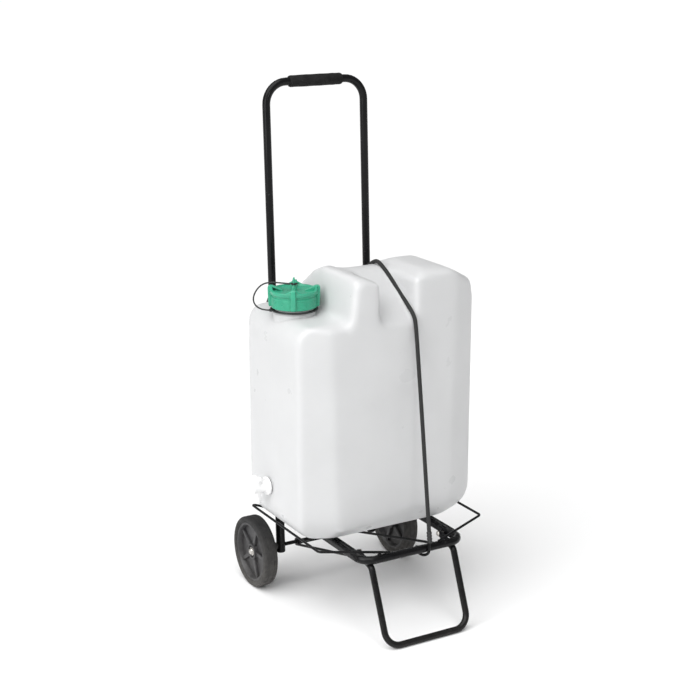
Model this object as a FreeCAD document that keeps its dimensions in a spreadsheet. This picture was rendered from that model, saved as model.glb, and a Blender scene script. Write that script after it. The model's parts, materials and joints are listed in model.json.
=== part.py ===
import FreeCAD, Part
import math
import os

import Sketcher
from FreeCAD import Placement, Rotation, Vector

# Portable waste tote: a blow-moulded tank strapped to a folding two-wheeled trolley.
# Frame: X along the axle, -Y to the front, +Z up, origin on the floor under the axle's middle.

DIMENSIONS = {
    "wheel_radius": 75.0,
    "wheel_width": 31.0,
    "wheel_outer_face": 187.0,
    "tyre_thickness": 13.0,
    "axle_radius": 4.0,
    "tube_spacing": 111.8,
    "tube_lean": 2.29,
    "tube_foot_back": -2.4,
    "back_tube_radius": 9.5,
    "back_tube_top": 600.0,
    "handle_radius": 8.0,
    "handle_height": 1043.0,
    "handle_leg_foot": 545.0,
    "handle_bend": 44.0,
    "grip_radius": 12.0,
    "grip_length": 120.0,
    "tube_wall": 1.2,
    "platform_height": 166.7,
    "platform_front": 347.6,
    "platform_hinge": 24.0,
    "rail_spacing": 114.0,
    "rail_radius": 8.0,
    "rail_bend": 28.0,
    "arm_width": 20.0,
    "arm_depth": 14.0,
    "stand_spacing": 93.7,
    "stand_radius": 6.5,
    "stand_front": 404.8,
    "stand_pivot_front": 296.0,
    "stand_bend": 30.0,
    "wire_radius": 2.5,
    "wing_spacing": 188.0,
    "wing_front": 303.0,
    "wing_height": 188.0,
    "tank_half_length": 199.0,
    "tank_front": 279.0,
    "tank_rear": 3.0,
    "tank_bottom": 175.3,
    "tank_deck": 606.0,
    "tank_top": 704.0,
    "tank_wall": 2.6,
    "neck_radius": 38.0,
    "neck_offset": 149.0,
    "cap_bottom": 633.0,
    "cap_radius": 45.0,
    "cap_depth": 34.0,
    "tap_front": 120.0,
    "tap_height": 266.0,
    "strap_radius": 4.0,
    "strap_side": 38.0,
    "hook_radius": 2.7,
    "tether_radius": 1.5,
    "running_gap": 0.3,
    "shaft_gap": 0.06,
}


class Dim:
    """A length that carries both its sheet expression and its present value."""

    def __init__(self, text, value):
        self.text = text
        self.value = value

    def __float__(self):
        return float(self.value)

    def __neg__(self):
        return Dim("-(%s)" % self.text, -self.value)

    def __add__(self, other):
        other = as_dim(other)
        return Dim("(%s + %s)" % (self.text, other.text), self.value + other.value)

    def __sub__(self, other):
        other = as_dim(other)
        return Dim("(%s - %s)" % (self.text, other.text), self.value - other.value)

    def __mul__(self, factor):
        return Dim("(%s * %r)" % (self.text, factor), self.value * factor)

    def __truediv__(self, factor):
        return Dim("(%s / %r)" % (self.text, factor), self.value / factor)

    def __radd__(self, other):
        return as_dim(other) + self

    def __rsub__(self, other):
        return as_dim(other) - self

    __rmul__ = __mul__


def as_dim(value):
    """Return a Dim for a plain number, and a Dim unchanged."""
    if isinstance(value, Dim):
        return value
    return Dim(repr(float(value)), float(value))


doc = FreeCAD.newDocument("waste_tote")
sheet = doc.addObject("Spreadsheet::Sheet", "dims")
for row, (alias, number) in enumerate(DIMENSIONS.items(), start=1):
    sheet.set("A%d" % row, alias)
    sheet.set("B%d" % row, str(number))
    sheet.setAlias("B%d" % row, alias)
doc.recompute()

D = {alias: Dim("dims.%s" % alias, number) for alias, number in DIMENSIONS.items()}
SIDES = {"left": -1, "right": 1}
nodes = []


def keep(obj, label):
    """Name an object as a finished sub-part."""
    obj.Label = label
    nodes.append(obj)
    return obj


def bind(obj, **sizes):
    """Bind properties of an object to sheet expressions."""
    for prop, size in sizes.items():
        obj.setExpression(prop, as_dim(size).text)
    return obj


def move(obj, x=0, y=0, z=0, axis=None, angle=0):
    """Place an object, with its position bound to the sheet."""
    obj.Placement = Placement(Vector(0, 0, 0), Rotation(axis or Vector(0, 0, 1), angle))
    for letter, size in zip("xyz", (x, y, z)):
        obj.setExpression("Placement.Base.%s" % letter, as_dim(size).text)
    return obj


# ---------------------------------------------------------------- sketch helpers


def new_body(label):
    """Start a PartDesign body that is a sub-part of its own."""
    return keep(doc.addObject("PartDesign::Body", label), label)


def new_sketch(body, name, role="XY_Plane", offset=0):
    """Add a sketch on one of the body's origin planes, raised by an offset."""
    sketch = body.newObject("Sketcher::SketchObject", name)
    plane = next(item for item in body.Origin.OriginFeatures if item.Role == role)
    sketch.AttachmentSupport = (plane, "")
    sketch.MapMode = "FlatFace"
    sketch.setExpression("AttachmentOffset.Base.z", as_dim(offset).text)
    return sketch


def pin_point(sketch, geometry, point, x, y):
    """Hold one point of a sketch at bound coordinates."""
    for kind, size, axis in (("DistanceX", as_dim(x), -2), ("DistanceY", as_dim(y), -1)):
        if abs(float(size)) < 1e-9:
            sketch.addConstraint(Sketcher.Constraint("PointOnObject", geometry, point, axis))
            continue
        index = sketch.addConstraint(Sketcher.Constraint(kind, -1, 1, geometry, point, float(size)))
        sketch.setExpression("Constraints[%d]" % index, size.text)


def add_circle(sketch, radius, x=0, y=0):
    """Draw a circle of bound radius about a bound centre."""
    centre = Vector(float(x), float(y), 0)
    geometry = sketch.addGeometry(Part.Circle(centre, Vector(0, 0, 1), float(radius)))
    index = sketch.addConstraint(Sketcher.Constraint("Radius", geometry, float(radius)))
    sketch.setExpression("Constraints[%d]" % index, as_dim(radius).text)
    pin_point(sketch, geometry, 3, x, y)


def add_outline(sketch, points, closed=True):
    """Draw a chain of straight lines through bound points."""
    count = len(points) if closed else len(points) - 1
    spots = [Vector(float(x), float(y), 0) for x, y in points]
    lines = [
        sketch.addGeometry(Part.LineSegment(spots[i], spots[(i + 1) % len(spots)]))
        for i in range(count)
    ]
    for i, line in enumerate(lines):
        pin_point(sketch, line, 1, *points[i])
        if i + 1 < count:
            sketch.addConstraint(Sketcher.Constraint("Coincident", line, 2, lines[i + 1], 1))
    if closed:
        sketch.addConstraint(Sketcher.Constraint("Coincident", lines[-1], 2, lines[0], 1))
    else:
        pin_point(sketch, lines[-1], 2, *points[-1])
    return lines


def revolve(label, profile, role="XZ_Plane"):
    """Make a body by turning a closed outline, given as (radius, height), about Z."""
    body = new_body(label)
    sketch = new_sketch(body, label + "_profile", role)
    add_outline(sketch, profile)
    turn = body.newObject("PartDesign::Revolution", label + "_turn")
    turn.Profile = sketch
    turn.ReferenceAxis = (sketch, ["V_Axis"])
    turn.Angle = 360.0
    body.Tip = turn
    return body


def disc(name, radius, height, x=0, y=0, z=0, axis=None, angle=0):
    """Add a plain cylinder whose radius, height and place are bound."""
    solid = bind(doc.addObject("Part::Cylinder", name), Radius=radius, Height=height)
    return move(solid, x, y, z, axis, angle)


def block(name, length, width, height, x, y, z):
    """Add a plain box whose size and place are bound."""
    solid = bind(doc.addObject("Part::Box", name), Length=length, Width=width, Height=height)
    return move(solid, x, y, z)


def cut(name, base, tool):
    """Subtract one object from another."""
    result = doc.addObject("Part::Cut", name)
    result.Base = base
    result.Tool = tool
    return result


def fuse(name, *shapes):
    """Join objects into one solid."""
    result = doc.addObject("Part::MultiFuse", name)
    result.Shapes = list(shapes)
    result.Refine = False
    return result


ALONG_X = Vector(0, 1, 0)
ALONG_Y = Vector(-1, 0, 0)

# ---------------------------------------------------------------- bent rods and tubes


def bent_path(points, radii):
    """Return a wire of straight runs joined by tangent arcs of the given radii."""
    spots = [Vector(*[float(c) for c in point]) for point in points]
    edges = []
    start = spots[0]
    for i in range(1, len(spots) - 1):
        back = (spots[i - 1] - spots[i]).normalize()
        ahead = (spots[i + 1] - spots[i]).normalize()
        half = back.getAngle(ahead) / 2
        reach = float(radii[i - 1]) / math.tan(half)
        centre = spots[i] + (back + ahead).normalize() * (float(radii[i - 1]) / math.sin(half))
        middle = centre + (spots[i] - centre).normalize() * float(radii[i - 1])
        entry = spots[i] + back * reach
        leave = spots[i] + ahead * reach
        edges.append(Part.LineSegment(start, entry).toShape())
        edges.append(Part.Arc(entry, middle, leave).toShape())
        start = leave
    edges.append(Part.LineSegment(start, spots[-1]).toShape())
    return Part.Wire(edges)


def sweep(name, points, radii, radius):
    """Sweep a circle of bound radius along a bent path."""
    path = doc.addObject("Part::Feature", name + "_path")
    path.Shape = bent_path(points, radii)
    ring = bind(doc.addObject("Part::Circle", name + "_section"), Radius=radius)
    start = Vector(*[float(c) for c in points[0]])
    ahead = Vector(*[float(c) for c in points[1]]) - start
    ring.Placement = Placement(start, Rotation(Vector(0, 0, 1), ahead))
    solid = doc.addObject("Part::Sweep", name)
    solid.Sections = [ring]
    solid.Spine = (path, ["Edge%d" % (i + 1) for i in range(len(path.Shape.Edges))])
    solid.Solid = True
    solid.Frenet = False
    return solid


def tube(name, points, radii, radius, wall):
    """Sweep a hollow round tube along a bent path."""
    outer = sweep(name + "_outer", points, radii, radius)
    inner = sweep(name + "_bore", points, radii, radius - wall)
    return cut(name, outer, inner)


# ---------------------------------------------------------------- driving places

LEAN = math.radians(float(D["tube_lean"]))
LEANED = Rotation(Vector(1, 0, 0), -float(D["tube_lean"]))
GAP = D["running_gap"]
AXLE_HEIGHT = D["wheel_radius"]
TUBE_FOOT = 62.0


def tube_line(height):
    """Return how far back the leaning tubes are at a height."""
    return D["tube_foot_back"] + height * math.tan(LEAN)


def lean(obj, x=0):
    """Stand an object, modelled upright about Z, on the leaning line of the back tubes."""
    obj.Placement = Placement(Vector(0, 0, 0), LEANED)
    obj.setExpression("Placement.Base.x", as_dim(x).text)
    obj.setExpression("Placement.Base.y", D["tube_foot_back"].text)
    return obj


# ---------------------------------------------------------------- back frame

for side, sign in SIDES.items():
    spacing = sign * D["tube_spacing"]

    # Outer tube: a round pipe, drilled across near its foot for the axle.
    body = new_body("back_tube_" + side)
    ring = new_sketch(body, "ring_" + side, offset=TUBE_FOOT)
    add_circle(ring, D["back_tube_radius"])
    add_circle(ring, D["back_tube_radius"] - D["tube_wall"])
    pipe = bind(body.newObject("PartDesign::Pad", "pipe_" + side), Length=D["back_tube_top"] - TUBE_FOOT)
    pipe.Profile = ring
    eye = new_sketch(body, "eye_" + side, "YZ_Plane")
    add_circle(eye, D["axle_radius"], y=AXLE_HEIGHT, x=-D["tube_foot_back"] - 3.0)
    drilled = body.newObject("PartDesign::Pocket", "drilled_" + side)
    drilled.Profile = eye
    drilled.Type = "Length"
    drilled.Midplane = True
    bind(drilled, Length=D["back_tube_radius"] * 4)
    body.Tip = drilled
    lean(body, spacing)

    # Collar: a plastic sleeve on the outer tube that grips the telescoping handle leg.
    collar_bottom = D["back_tube_top"] - 18.0
    collar_top = D["back_tube_top"] + 10.0
    shoulder = D["back_tube_top"]
    collar = revolve("tube_collar_" + side, [
        (D["back_tube_radius"], collar_bottom),
        (D["back_tube_radius"] + 2.5, collar_bottom),
        (D["back_tube_radius"] + 3.5, collar_bottom + 4.0),
        (D["back_tube_radius"] + 3.5, collar_top - 6.0),
        (D["back_tube_radius"] + 1.0, collar_top),
        (D["handle_radius"] + D["shaft_gap"], collar_top),
        (D["handle_radius"] + D["shaft_gap"], shoulder),
        (D["back_tube_radius"], shoulder),
    ])
    lean(collar, spacing)

    # End plug: a plastic stopper pressed into the foot of the tube.
    plug = revolve("tube_plug_" + side, [
        (0, TUBE_FOOT - 3.0),
        (D["back_tube_radius"] - 1.0, TUBE_FOOT - 3.0),
        (D["back_tube_radius"], TUBE_FOOT - 2.0),
        (D["back_tube_radius"], TUBE_FOOT),
        (D["back_tube_radius"] - D["tube_wall"], TUBE_FOOT),
        (D["back_tube_radius"] - D["tube_wall"], TUBE_FOOT + 6.0),
        (0, TUBE_FOOT + 6.0),
    ])
    lean(plug, spacing)

# Cross tubes: welded between the back tubes, their ends coped to the tubes' round sides.
CROSS_RADIUS = 6.5
UPPER_CROSS = 560.0
LOWER_CROSS = 130.0


def cross_tube(label, height):
    """Make a hollow cross tube whose ends are coped to fit the back tubes."""
    length = D["tube_spacing"] * 2
    place = dict(x=-D["tube_spacing"], y=tube_line(height), z=height, axis=ALONG_X, angle=90)
    outer = disc(label + "_outer", CROSS_RADIUS, length, **place)
    bore = disc(label + "_bore", CROSS_RADIUS - float(D["tube_wall"]), length, **place)
    legs = [
        lean(bind(doc.addObject("Part::Cylinder", label + "_leg_" + side),
                  Radius=D["back_tube_radius"], Height=700), sign * D["tube_spacing"])
        for side, sign in SIDES.items()
    ]
    pipe = cut(label + "_pipe", outer, bore)
    return keep(cut(label, pipe, fuse(label + "_legs", *legs)), label)


cross_tube("upper_cross_tube", UPPER_CROSS)
cross_tube("lower_cross_tube", LOWER_CROSS)

# ---------------------------------------------------------------- axle and wheels

WHEEL_INNER = D["wheel_outer_face"] - D["wheel_width"]
HUB_RECESS = 7.0
AXLE_END = D["wheel_outer_face"] - 3.0

axle = disc("axle_rod", D["axle_radius"], AXLE_END * 2, x=-AXLE_END, z=AXLE_HEIGHT,
            axis=ALONG_X, angle=90)
keep(axle, "axle_rod")

RIM_RADIUS = D["wheel_radius"] - D["tyre_thickness"]
HUB_RADIUS = 17.0
WEB_HALF = 4.0
BORE_RADIUS = 7.0
SPOKES = 5
SPOKE_WIDTH = 9.0
SPOKE_RECESS = 7.0

for side, sign in SIDES.items():
    outward = Vector(0, 1, 0)
    turn = 90 * sign

    def on_axle(obj, start):
        """Turn an object modelled along Z to point outwards along the axle."""
        return move(obj, x=sign * start, z=AXLE_HEIGHT, axis=outward, angle=turn)

    # Spacer: keeps the wheel clear of the back tube.
    spacer_length = WHEEL_INNER - D["tube_spacing"] - D["back_tube_radius"] - GAP * 2
    spacer = revolve("axle_spacer_" + side, [
        (D["axle_radius"] + D["shaft_gap"], 0),
        (D["axle_radius"] + 3.0, 0),
        (D["axle_radius"] + 3.0, spacer_length - 2.0),
        (D["axle_radius"] + 5.0, spacer_length - 2.0),
        (D["axle_radius"] + 5.0, spacer_length),
        (D["axle_radius"] + D["shaft_gap"], spacer_length),
    ])
    on_axle(spacer, D["tube_spacing"] + D["back_tube_radius"] + GAP)

    # Tyre: a solid ring, rounded at its tread edges, on the rim's flat seat.
    width = D["wheel_width"]
    tyre = revolve("tyre_" + side, [
        (RIM_RADIUS, 1.5),
        (RIM_RADIUS + 4.0, 0),
        (D["wheel_radius"] - 4.0, 0),
        (D["wheel_radius"] - 1.2, 1.2),
        (D["wheel_radius"], 4.0),
        (D["wheel_radius"], width - 4.0),
        (D["wheel_radius"] - 1.2, width - 1.2),
        (D["wheel_radius"] - 4.0, width),
        (RIM_RADIUS + 4.0, width),
        (RIM_RADIUS, width - 1.5),
    ])
    on_axle(tyre, WHEEL_INNER)

    # Wheel centre: rim, web and hub in one moulding, with open pockets between the spokes.
    middle = width / 2
    rim = revolve("wheel_centre_%s_turned" % side, [
        (BORE_RADIUS, 0),
        (HUB_RADIUS, 0),
        (HUB_RADIUS, middle - WEB_HALF),
        (RIM_RADIUS - 6.0, middle - WEB_HALF),
        (RIM_RADIUS - 4.0, 2.0),
        (RIM_RADIUS, 2.0),
        (RIM_RADIUS, width - 2.0),
        (RIM_RADIUS - 4.0, width - 2.0),
        (RIM_RADIUS - 6.0, middle + WEB_HALF),
        (HUB_RADIUS, middle + WEB_HALF),
        (HUB_RADIUS, width - HUB_RECESS),
        (BORE_RADIUS, width - HUB_RECESS),
    ])
    nodes.remove(rim)
    spokes = []
    for index in range(SPOKES):
        spoke = bind(doc.addObject("Part::Box", "spoke_%s_%d" % (side, index)), Width=SPOKE_WIDTH,
                     Length=RIM_RADIUS - HUB_RADIUS - 3.0, Height=width - SPOKE_RECESS * 2)
        radial = Rotation(Vector(0, 0, 1), 360.0 * index / SPOKES)
        corner = Vector(HUB_RADIUS - 1.0, -SPOKE_WIDTH / 2, SPOKE_RECESS)
        spoke.Placement = Placement(radial.multVec(corner), radial)
        spokes.append(spoke)
    centre = keep(fuse("wheel_centre_" + side, rim, *spokes), "wheel_centre_" + side)
    on_axle(centre, WHEEL_INNER)

    # Bushes: two flanged sleeves pressed into the hub, which turn on the axle.
    sleeve = [
        (D["axle_radius"] + D["shaft_gap"], 0.3),
        (BORE_RADIUS, 0.3),
        (BORE_RADIUS, 9.0),
        (D["axle_radius"] + D["shaft_gap"], 9.0),
    ]
    inner_bush = revolve("wheel_bush_inner_" + side, sleeve)
    on_axle(inner_bush, WHEEL_INNER)
    outer_start = D["wheel_outer_face"] - HUB_RECESS - 9.3
    outer_bush = revolve("wheel_bush_outer_" + side, sleeve)
    on_axle(outer_bush, outer_start)

    # Push nut: a pressed steel cap that holds the wheel on the axle's end.
    nut_start = D["wheel_outer_face"] - HUB_RECESS + 0.5
    nut = revolve("push_nut_" + side, [
        (D["axle_radius"], 0),
        (9.0, 0),
        (9.0, 1.0),
        (6.2, 2.2),
        (5.6, 4.6),
        (0, 5.2),
        (0, AXLE_END - nut_start),
        (D["axle_radius"], AXLE_END - nut_start),
    ])
    on_axle(nut, nut_start)

# ---------------------------------------------------------------- telescoping handle

leg_top = D["handle_height"] / math.cos(LEAN)
leg = D["tube_spacing"]
foot = D["handle_leg_foot"]
handle_points = [(-leg, 0, foot), (-leg, 0, leg_top), (leg, 0, leg_top), (leg, 0, foot)]
handle = tube("handle_tube", handle_points, [D["handle_bend"]] * 2, D["handle_radius"], D["tube_wall"])
keep(lean(handle), "handle_tube")

grip = revolve("handle_grip", [
    (D["handle_radius"], -D["grip_length"] / 2),
    (D["grip_radius"] - 1.5, -D["grip_length"] / 2),
    (D["grip_radius"], 1.5 - D["grip_length"] / 2),
    (D["grip_radius"], D["grip_length"] / 2 - 1.5),
    (D["grip_radius"] - 1.5, D["grip_length"] / 2),
    (D["handle_radius"], D["grip_length"] / 2),
])
move(grip, y=D["tube_foot_back"] + D["handle_height"] * math.tan(LEAN), z=D["handle_height"],
     axis=ALONG_X, angle=90)

for side, sign in SIDES.items():
    # Guide bush: a plastic sleeve on the foot of each handle leg, sliding in the outer tube.
    seat = D["handle_radius"] - D["tube_wall"]
    bore = D["back_tube_radius"] - D["tube_wall"] - D["shaft_gap"]
    bush = revolve("guide_bush_" + side, [
        (0, foot - 8.0),
        (bore, foot - 8.0),
        (bore, foot),
        (seat, foot),
        (seat, foot + 8.0),
        (0, foot + 8.0),
    ])
    lean(bush, sign * leg)

# ---------------------------------------------------------------- folding platform

HINGE_HEIGHT = D["platform_height"] + D["rail_radius"] - D["arm_depth"] / 2
ARM_INNER = D["rail_spacing"] - D["arm_width"] / 2 - 2.0
ARM_START = D["platform_front"] - D["rail_bend"] - 1.5
BOLT_RADIUS = 3.0
EAR = 3.0
EAR_HALF = 7.5
STAND_PIVOT = 165.0
EYE_CENTRE = 95.0
EYE_THICKNESS = 8.0
EYE_RADIUS = 6.0
EYE_LENGTH = 24.0


def along_axle(name, radius, start, length, y, z):
    """Add a cylinder that lies along X from a start."""
    return disc(name, radius, length, x=start, y=y, z=z, axis=ALONG_X, angle=90)


def low(sign, near, far):
    """Return the lower X of a span that lies between two distances from the middle."""
    return as_dim(near) if sign > 0 else -as_dim(far)


rail = D["rail_spacing"]
rail_line = [
    (-rail, -ARM_START + 14.0, D["platform_height"]),
    (-rail, -D["platform_front"], D["platform_height"]),
    (rail, -D["platform_front"], D["platform_height"]),
    (rail, -ARM_START + 14.0, D["platform_height"]),
]
bow = tube("platform_bow", rail_line, [D["rail_bend"]] * 2, D["rail_radius"], D["tube_wall"])
arms = []
holes = []
for side, sign in SIDES.items():
    # Arm: flat-oval side member, with a pressed groove, rounded about its hinge bolt.
    arm_low = low(sign, ARM_INNER, ARM_INNER + D["arm_width"])
    arm_box = block("arm_box_" + side, D["arm_width"], ARM_START - D["platform_hinge"],
                    D["arm_depth"], arm_low, -ARM_START, HINGE_HEIGHT - D["arm_depth"] / 2)
    doc.recompute()
    softened = doc.addObject("Part::Fillet", "arm_" + side)
    softened.Base = arm_box
    softened.Edges = [
        (i + 1, 4.0, 4.0)
        for i, edge in enumerate(arm_box.Shape.Edges)
        if abs(edge.tangentAt(edge.FirstParameter).y) > 0.9
    ]
    knuckle = along_axle("knuckle_" + side, D["arm_depth"] / 2, arm_low, D["arm_width"],
                         -D["platform_hinge"], HINGE_HEIGHT)
    arms += [softened, knuckle]
    groove_low = low(sign, D["rail_spacing"] - 5.0, D["rail_spacing"] - 1.5)
    holes += [
        along_axle("arm_eye_" + side, BOLT_RADIUS + float(D["shaft_gap"]), arm_low - 1.0,
                   D["arm_width"] + 2.0, -D["platform_hinge"], HINGE_HEIGHT),
        along_axle("rivet_eye_" + side, BOLT_RADIUS, low(sign, ARM_INNER - 2.0, ARM_INNER + 8.0),
                   10.0, -D["stand_pivot_front"], STAND_PIVOT),
        block("arm_groove_" + side, 3.5, ARM_START - D["platform_hinge"] - 60.0, 2.0,
              groove_low, -ARM_START + 18.0, HINGE_HEIGHT + D["arm_depth"] / 2 - 1.0),
    ]
keep(cut("platform_tube", fuse("platform_solid", bow, *arms), fuse("platform_holes", *holes)),
     "platform_tube")

for side, sign in SIDES.items():
    # Wing: a bent wire that carries the tank's overhanging end.
    weld_height = D["platform_height"] + D["rail_radius"] + D["wire_radius"]
    wing = sweep("wing_wire_" + side, [
        (sign * 57.0, -D["platform_front"] - 3.0, weld_height),
        (sign * D["wing_spacing"], -D["wing_front"], D["wing_height"]),
        (sign * D["wing_spacing"], -15.0, D["wing_height"]),
        (sign * 158.0, -30.0, 180.0),
        (sign * (ARM_INNER + D["arm_width"] + D["wire_radius"]), -52.0, 167.5),
    ], [9.0, 8.0, 10.0], D["wire_radius"])
    keep(wing, "wing_wire_" + side)

    # Stand rivet: fixed in the arm, with its head inside the stand's eye.
    shank = along_axle("rivet_shank_" + side, BOLT_RADIUS, low(sign, EYE_CENTRE - 5.0, ARM_INNER + 8.0),
                       ARM_INNER + 13.0 - EYE_CENTRE, -D["stand_pivot_front"], STAND_PIVOT)
    head = along_axle("rivet_head_" + side, 5.5, low(sign, EYE_CENTRE - 7.0, EYE_CENTRE - 5.0), 2.0,
                      -D["stand_pivot_front"], STAND_PIVOT)
    keep(fuse("stand_rivet_" + side, shank, head), "stand_rivet_" + side)

    # Hinge bracket: wraps the back tube and holds the arm between two ears.
    ear_low = low(sign, ARM_INNER - EAR - 0.4, ARM_INNER + D["arm_width"] + EAR + 0.4)
    reach = D["platform_hinge"] + EAR_HALF
    ears = block("bracket_ears_" + side, D["arm_width"] + EAR * 2 + 0.8, reach + 15.0, EAR_HALF * 2,
                 ear_low, -reach, HINGE_HEIGHT - EAR_HALF)
    slot = block("bracket_slot_" + side, D["arm_width"] + 0.8, 40.0, 40.0,
                 ear_low + EAR, -D["platform_hinge"] - 31.5, HINGE_HEIGHT - 20.0)
    tube_hole = lean(bind(doc.addObject("Part::Cylinder", "bracket_hole_" + side),
                          Radius=D["back_tube_radius"], Height=400), sign * D["tube_spacing"])
    bolt_hole = along_axle("bracket_bolt_hole_" + side, BOLT_RADIUS, ear_low - 1.0,
                           D["arm_width"] + EAR * 2 + 3.0, -D["platform_hinge"], HINGE_HEIGHT)
    keep(cut("hinge_bracket_" + side, ears, fuse("bracket_tools_" + side, slot, tube_hole, bolt_hole)),
         "hinge_bracket_" + side)

    # Pivot bolt: passes through both ears and the arm, with a head at each end.
    shaft = along_axle("bolt_shaft_" + side, BOLT_RADIUS, ear_low - 1.5,
                       D["arm_width"] + EAR * 2 + 3.8, -D["platform_hinge"], HINGE_HEIGHT)
    heads = [
        along_axle("bolt_head_%s_%d" % (side, i), 5.0, start, 2.5, -D["platform_hinge"], HINGE_HEIGHT)
        for i, start in enumerate((ear_low - 2.5, ear_low + D["arm_width"] + EAR * 2 + 0.8))
    ]
    keep(fuse("pivot_bolt_" + side, shaft, *heads), "pivot_bolt_" + side)

# ---------------------------------------------------------------- front stand

knee_drop = 151.5
knee_front = 345.0
stand_line = [
    (-EYE_CENTRE, -312.0, 160.3),
    (-EYE_CENTRE + 0.4, -knee_front, knee_drop),
    (-D["stand_spacing"], -D["stand_front"], D["stand_radius"]),
    (D["stand_spacing"], -D["stand_front"], D["stand_radius"]),
    (EYE_CENTRE - 0.4, -knee_front, knee_drop),
    (EYE_CENTRE, -312.0, 160.3),
]
bends = [14.0, D["stand_bend"], D["stand_bend"], 14.0]
legs = tube("stand_legs", stand_line, bends, D["stand_radius"], D["tube_wall"])
slope = math.degrees(math.atan2(STAND_PIVOT - 160.3, 312.0 - float(D["stand_pivot_front"])))
plates = []
eyes = []
for side, sign in SIDES.items():
    eye_low = sign * EYE_CENTRE - EYE_THICKNESS / 2
    plate = bind(doc.addObject("Part::Box", "eye_plate_" + side), Length=EYE_THICKNESS,
                 Width=EYE_LENGTH, Height=EYE_RADIUS * 2)
    tilt = Rotation(Vector(1, 0, 0), slope)
    corner = Vector(eye_low, -float(D["stand_pivot_front"]), STAND_PIVOT)
    corner += tilt.multVec(Vector(0, -EYE_LENGTH, -EYE_RADIUS))
    plate.Placement = Placement(corner, tilt)
    rounded = along_axle("eye_round_" + side, EYE_RADIUS, eye_low, EYE_THICKNESS,
                         -D["stand_pivot_front"], STAND_PIVOT)
    plates += [plate, rounded]
    eyes.append(along_axle("eye_hole_" + side, BOLT_RADIUS + float(D["shaft_gap"]), eye_low - 1.0,
                           EYE_THICKNESS + 2.0, -D["stand_pivot_front"], STAND_PIVOT))
keep(cut("stand_tube", fuse("stand_solid", legs, *plates), fuse("stand_eyes", *eyes)), "stand_tube")

# ---------------------------------------------------------------- support wire on the axle

BAIL_HALF = 72.0
bail_line = [
    (-80.0, -339.2, 159.0),
    (-BAIL_HALF, 12.0, 64.5),
    (BAIL_HALF, 12.0, 64.5),
    (80.0, -339.2, 159.0),
]
bail = sweep("bail_wire", bail_line, [10.0, 10.0], D["wire_radius"] + 0.2)
clips = []
for side, sign in SIDES.items():
    clip = along_axle("clip_" + side, 8.0, sign * BAIL_HALF - 3.0, 6.0, 0, AXLE_HEIGHT)
    clips.append(clip)
clip_bore = along_axle("clip_bore", D["axle_radius"] + D["shaft_gap"], -BAIL_HALF - 5.0,
                       BAIL_HALF * 2 + 10.0, 0, AXLE_HEIGHT)
keep(cut("support_wire", fuse("bail_solid", bail, *clips), clip_bore), "support_wire")

# ---------------------------------------------------------------- tank

TANK_MIDDLE = -(float(D["tank_front"]) + float(D["tank_rear"])) / 2
FACET_LENGTH = 69.0
FACET_DEPTH = 33.0
BASE_ROUND = 60.0
SADDLE = 694.0
SADDLE_SPAN = (-46.0, 56.0)
RECESS_SPAN = (-34.0, 44.0)
RECESS_FOOT = 608.0
DECK_EDGE = -134.0
CAP_ROOM = 58.0


def plan_outline(inset, height):
    """Return the tank's eight-sided plan, rounded at its corners, as a wire at a height."""
    half_x = float(D["tank_half_length"]) - inset
    half_y = (float(D["tank_front"]) - float(D["tank_rear"])) / 2 - inset
    run = math.hypot(FACET_LENGTH, FACET_DEPTH)
    cut_x = FACET_LENGTH - inset * (run - FACET_LENGTH) / FACET_DEPTH
    cut_y = FACET_DEPTH - inset * (run - FACET_DEPTH) / FACET_LENGTH
    corners = []
    for sx, sy in ((1, -1), (1, 1), (-1, 1), (-1, -1)):
        pair = [(sx * half_x, sy * (half_y - cut_y)), (sx * (half_x - cut_x), sy * half_y)]
        corners += pair if sx * sy > 0 else pair[::-1]
    spots = [Vector(x, TANK_MIDDLE + y, height) for x, y in corners]
    radius = 24.0 - inset * 0.3
    edges = []
    for i, spot in enumerate(spots):
        back = (spots[i - 1] - spot).normalize()
        ahead = (spots[(i + 1) % 8] - spot).normalize()
        half = back.getAngle(ahead) / 2
        reach = radius / math.tan(half)
        bulge = radius / math.sin(half) - radius
        middle = spot + (back + ahead).normalize() * bulge
        edges.append(Part.Arc(spot + back * reach, middle, spot + ahead * reach).toShape())
    arcs = list(edges)
    edges = []
    for i, arc in enumerate(arcs):
        edges.append(arc)
        end = arc.valueAt(arc.LastParameter)
        following = arcs[(i + 1) % 8]
        edges.append(Part.LineSegment(end, following.valueAt(following.FirstParameter)).toShape())
    return Part.Wire(edges)


def prism(points, plane, low_end, high_end):
    """Extrude a polygon across X when its plane is YZ, or across Y when it is XZ."""
    if plane == "YZ":
        spots = [Vector(low_end, a, b) for a, b in points]
        sweep_by = Vector(high_end - low_end, 0, 0)
    else:
        spots = [Vector(a, low_end, b) for a, b in points]
        sweep_by = Vector(0, high_end - low_end, 0)
    return Part.Face(Part.makePolygon(spots + spots[:1])).extrude(sweep_by)


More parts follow.
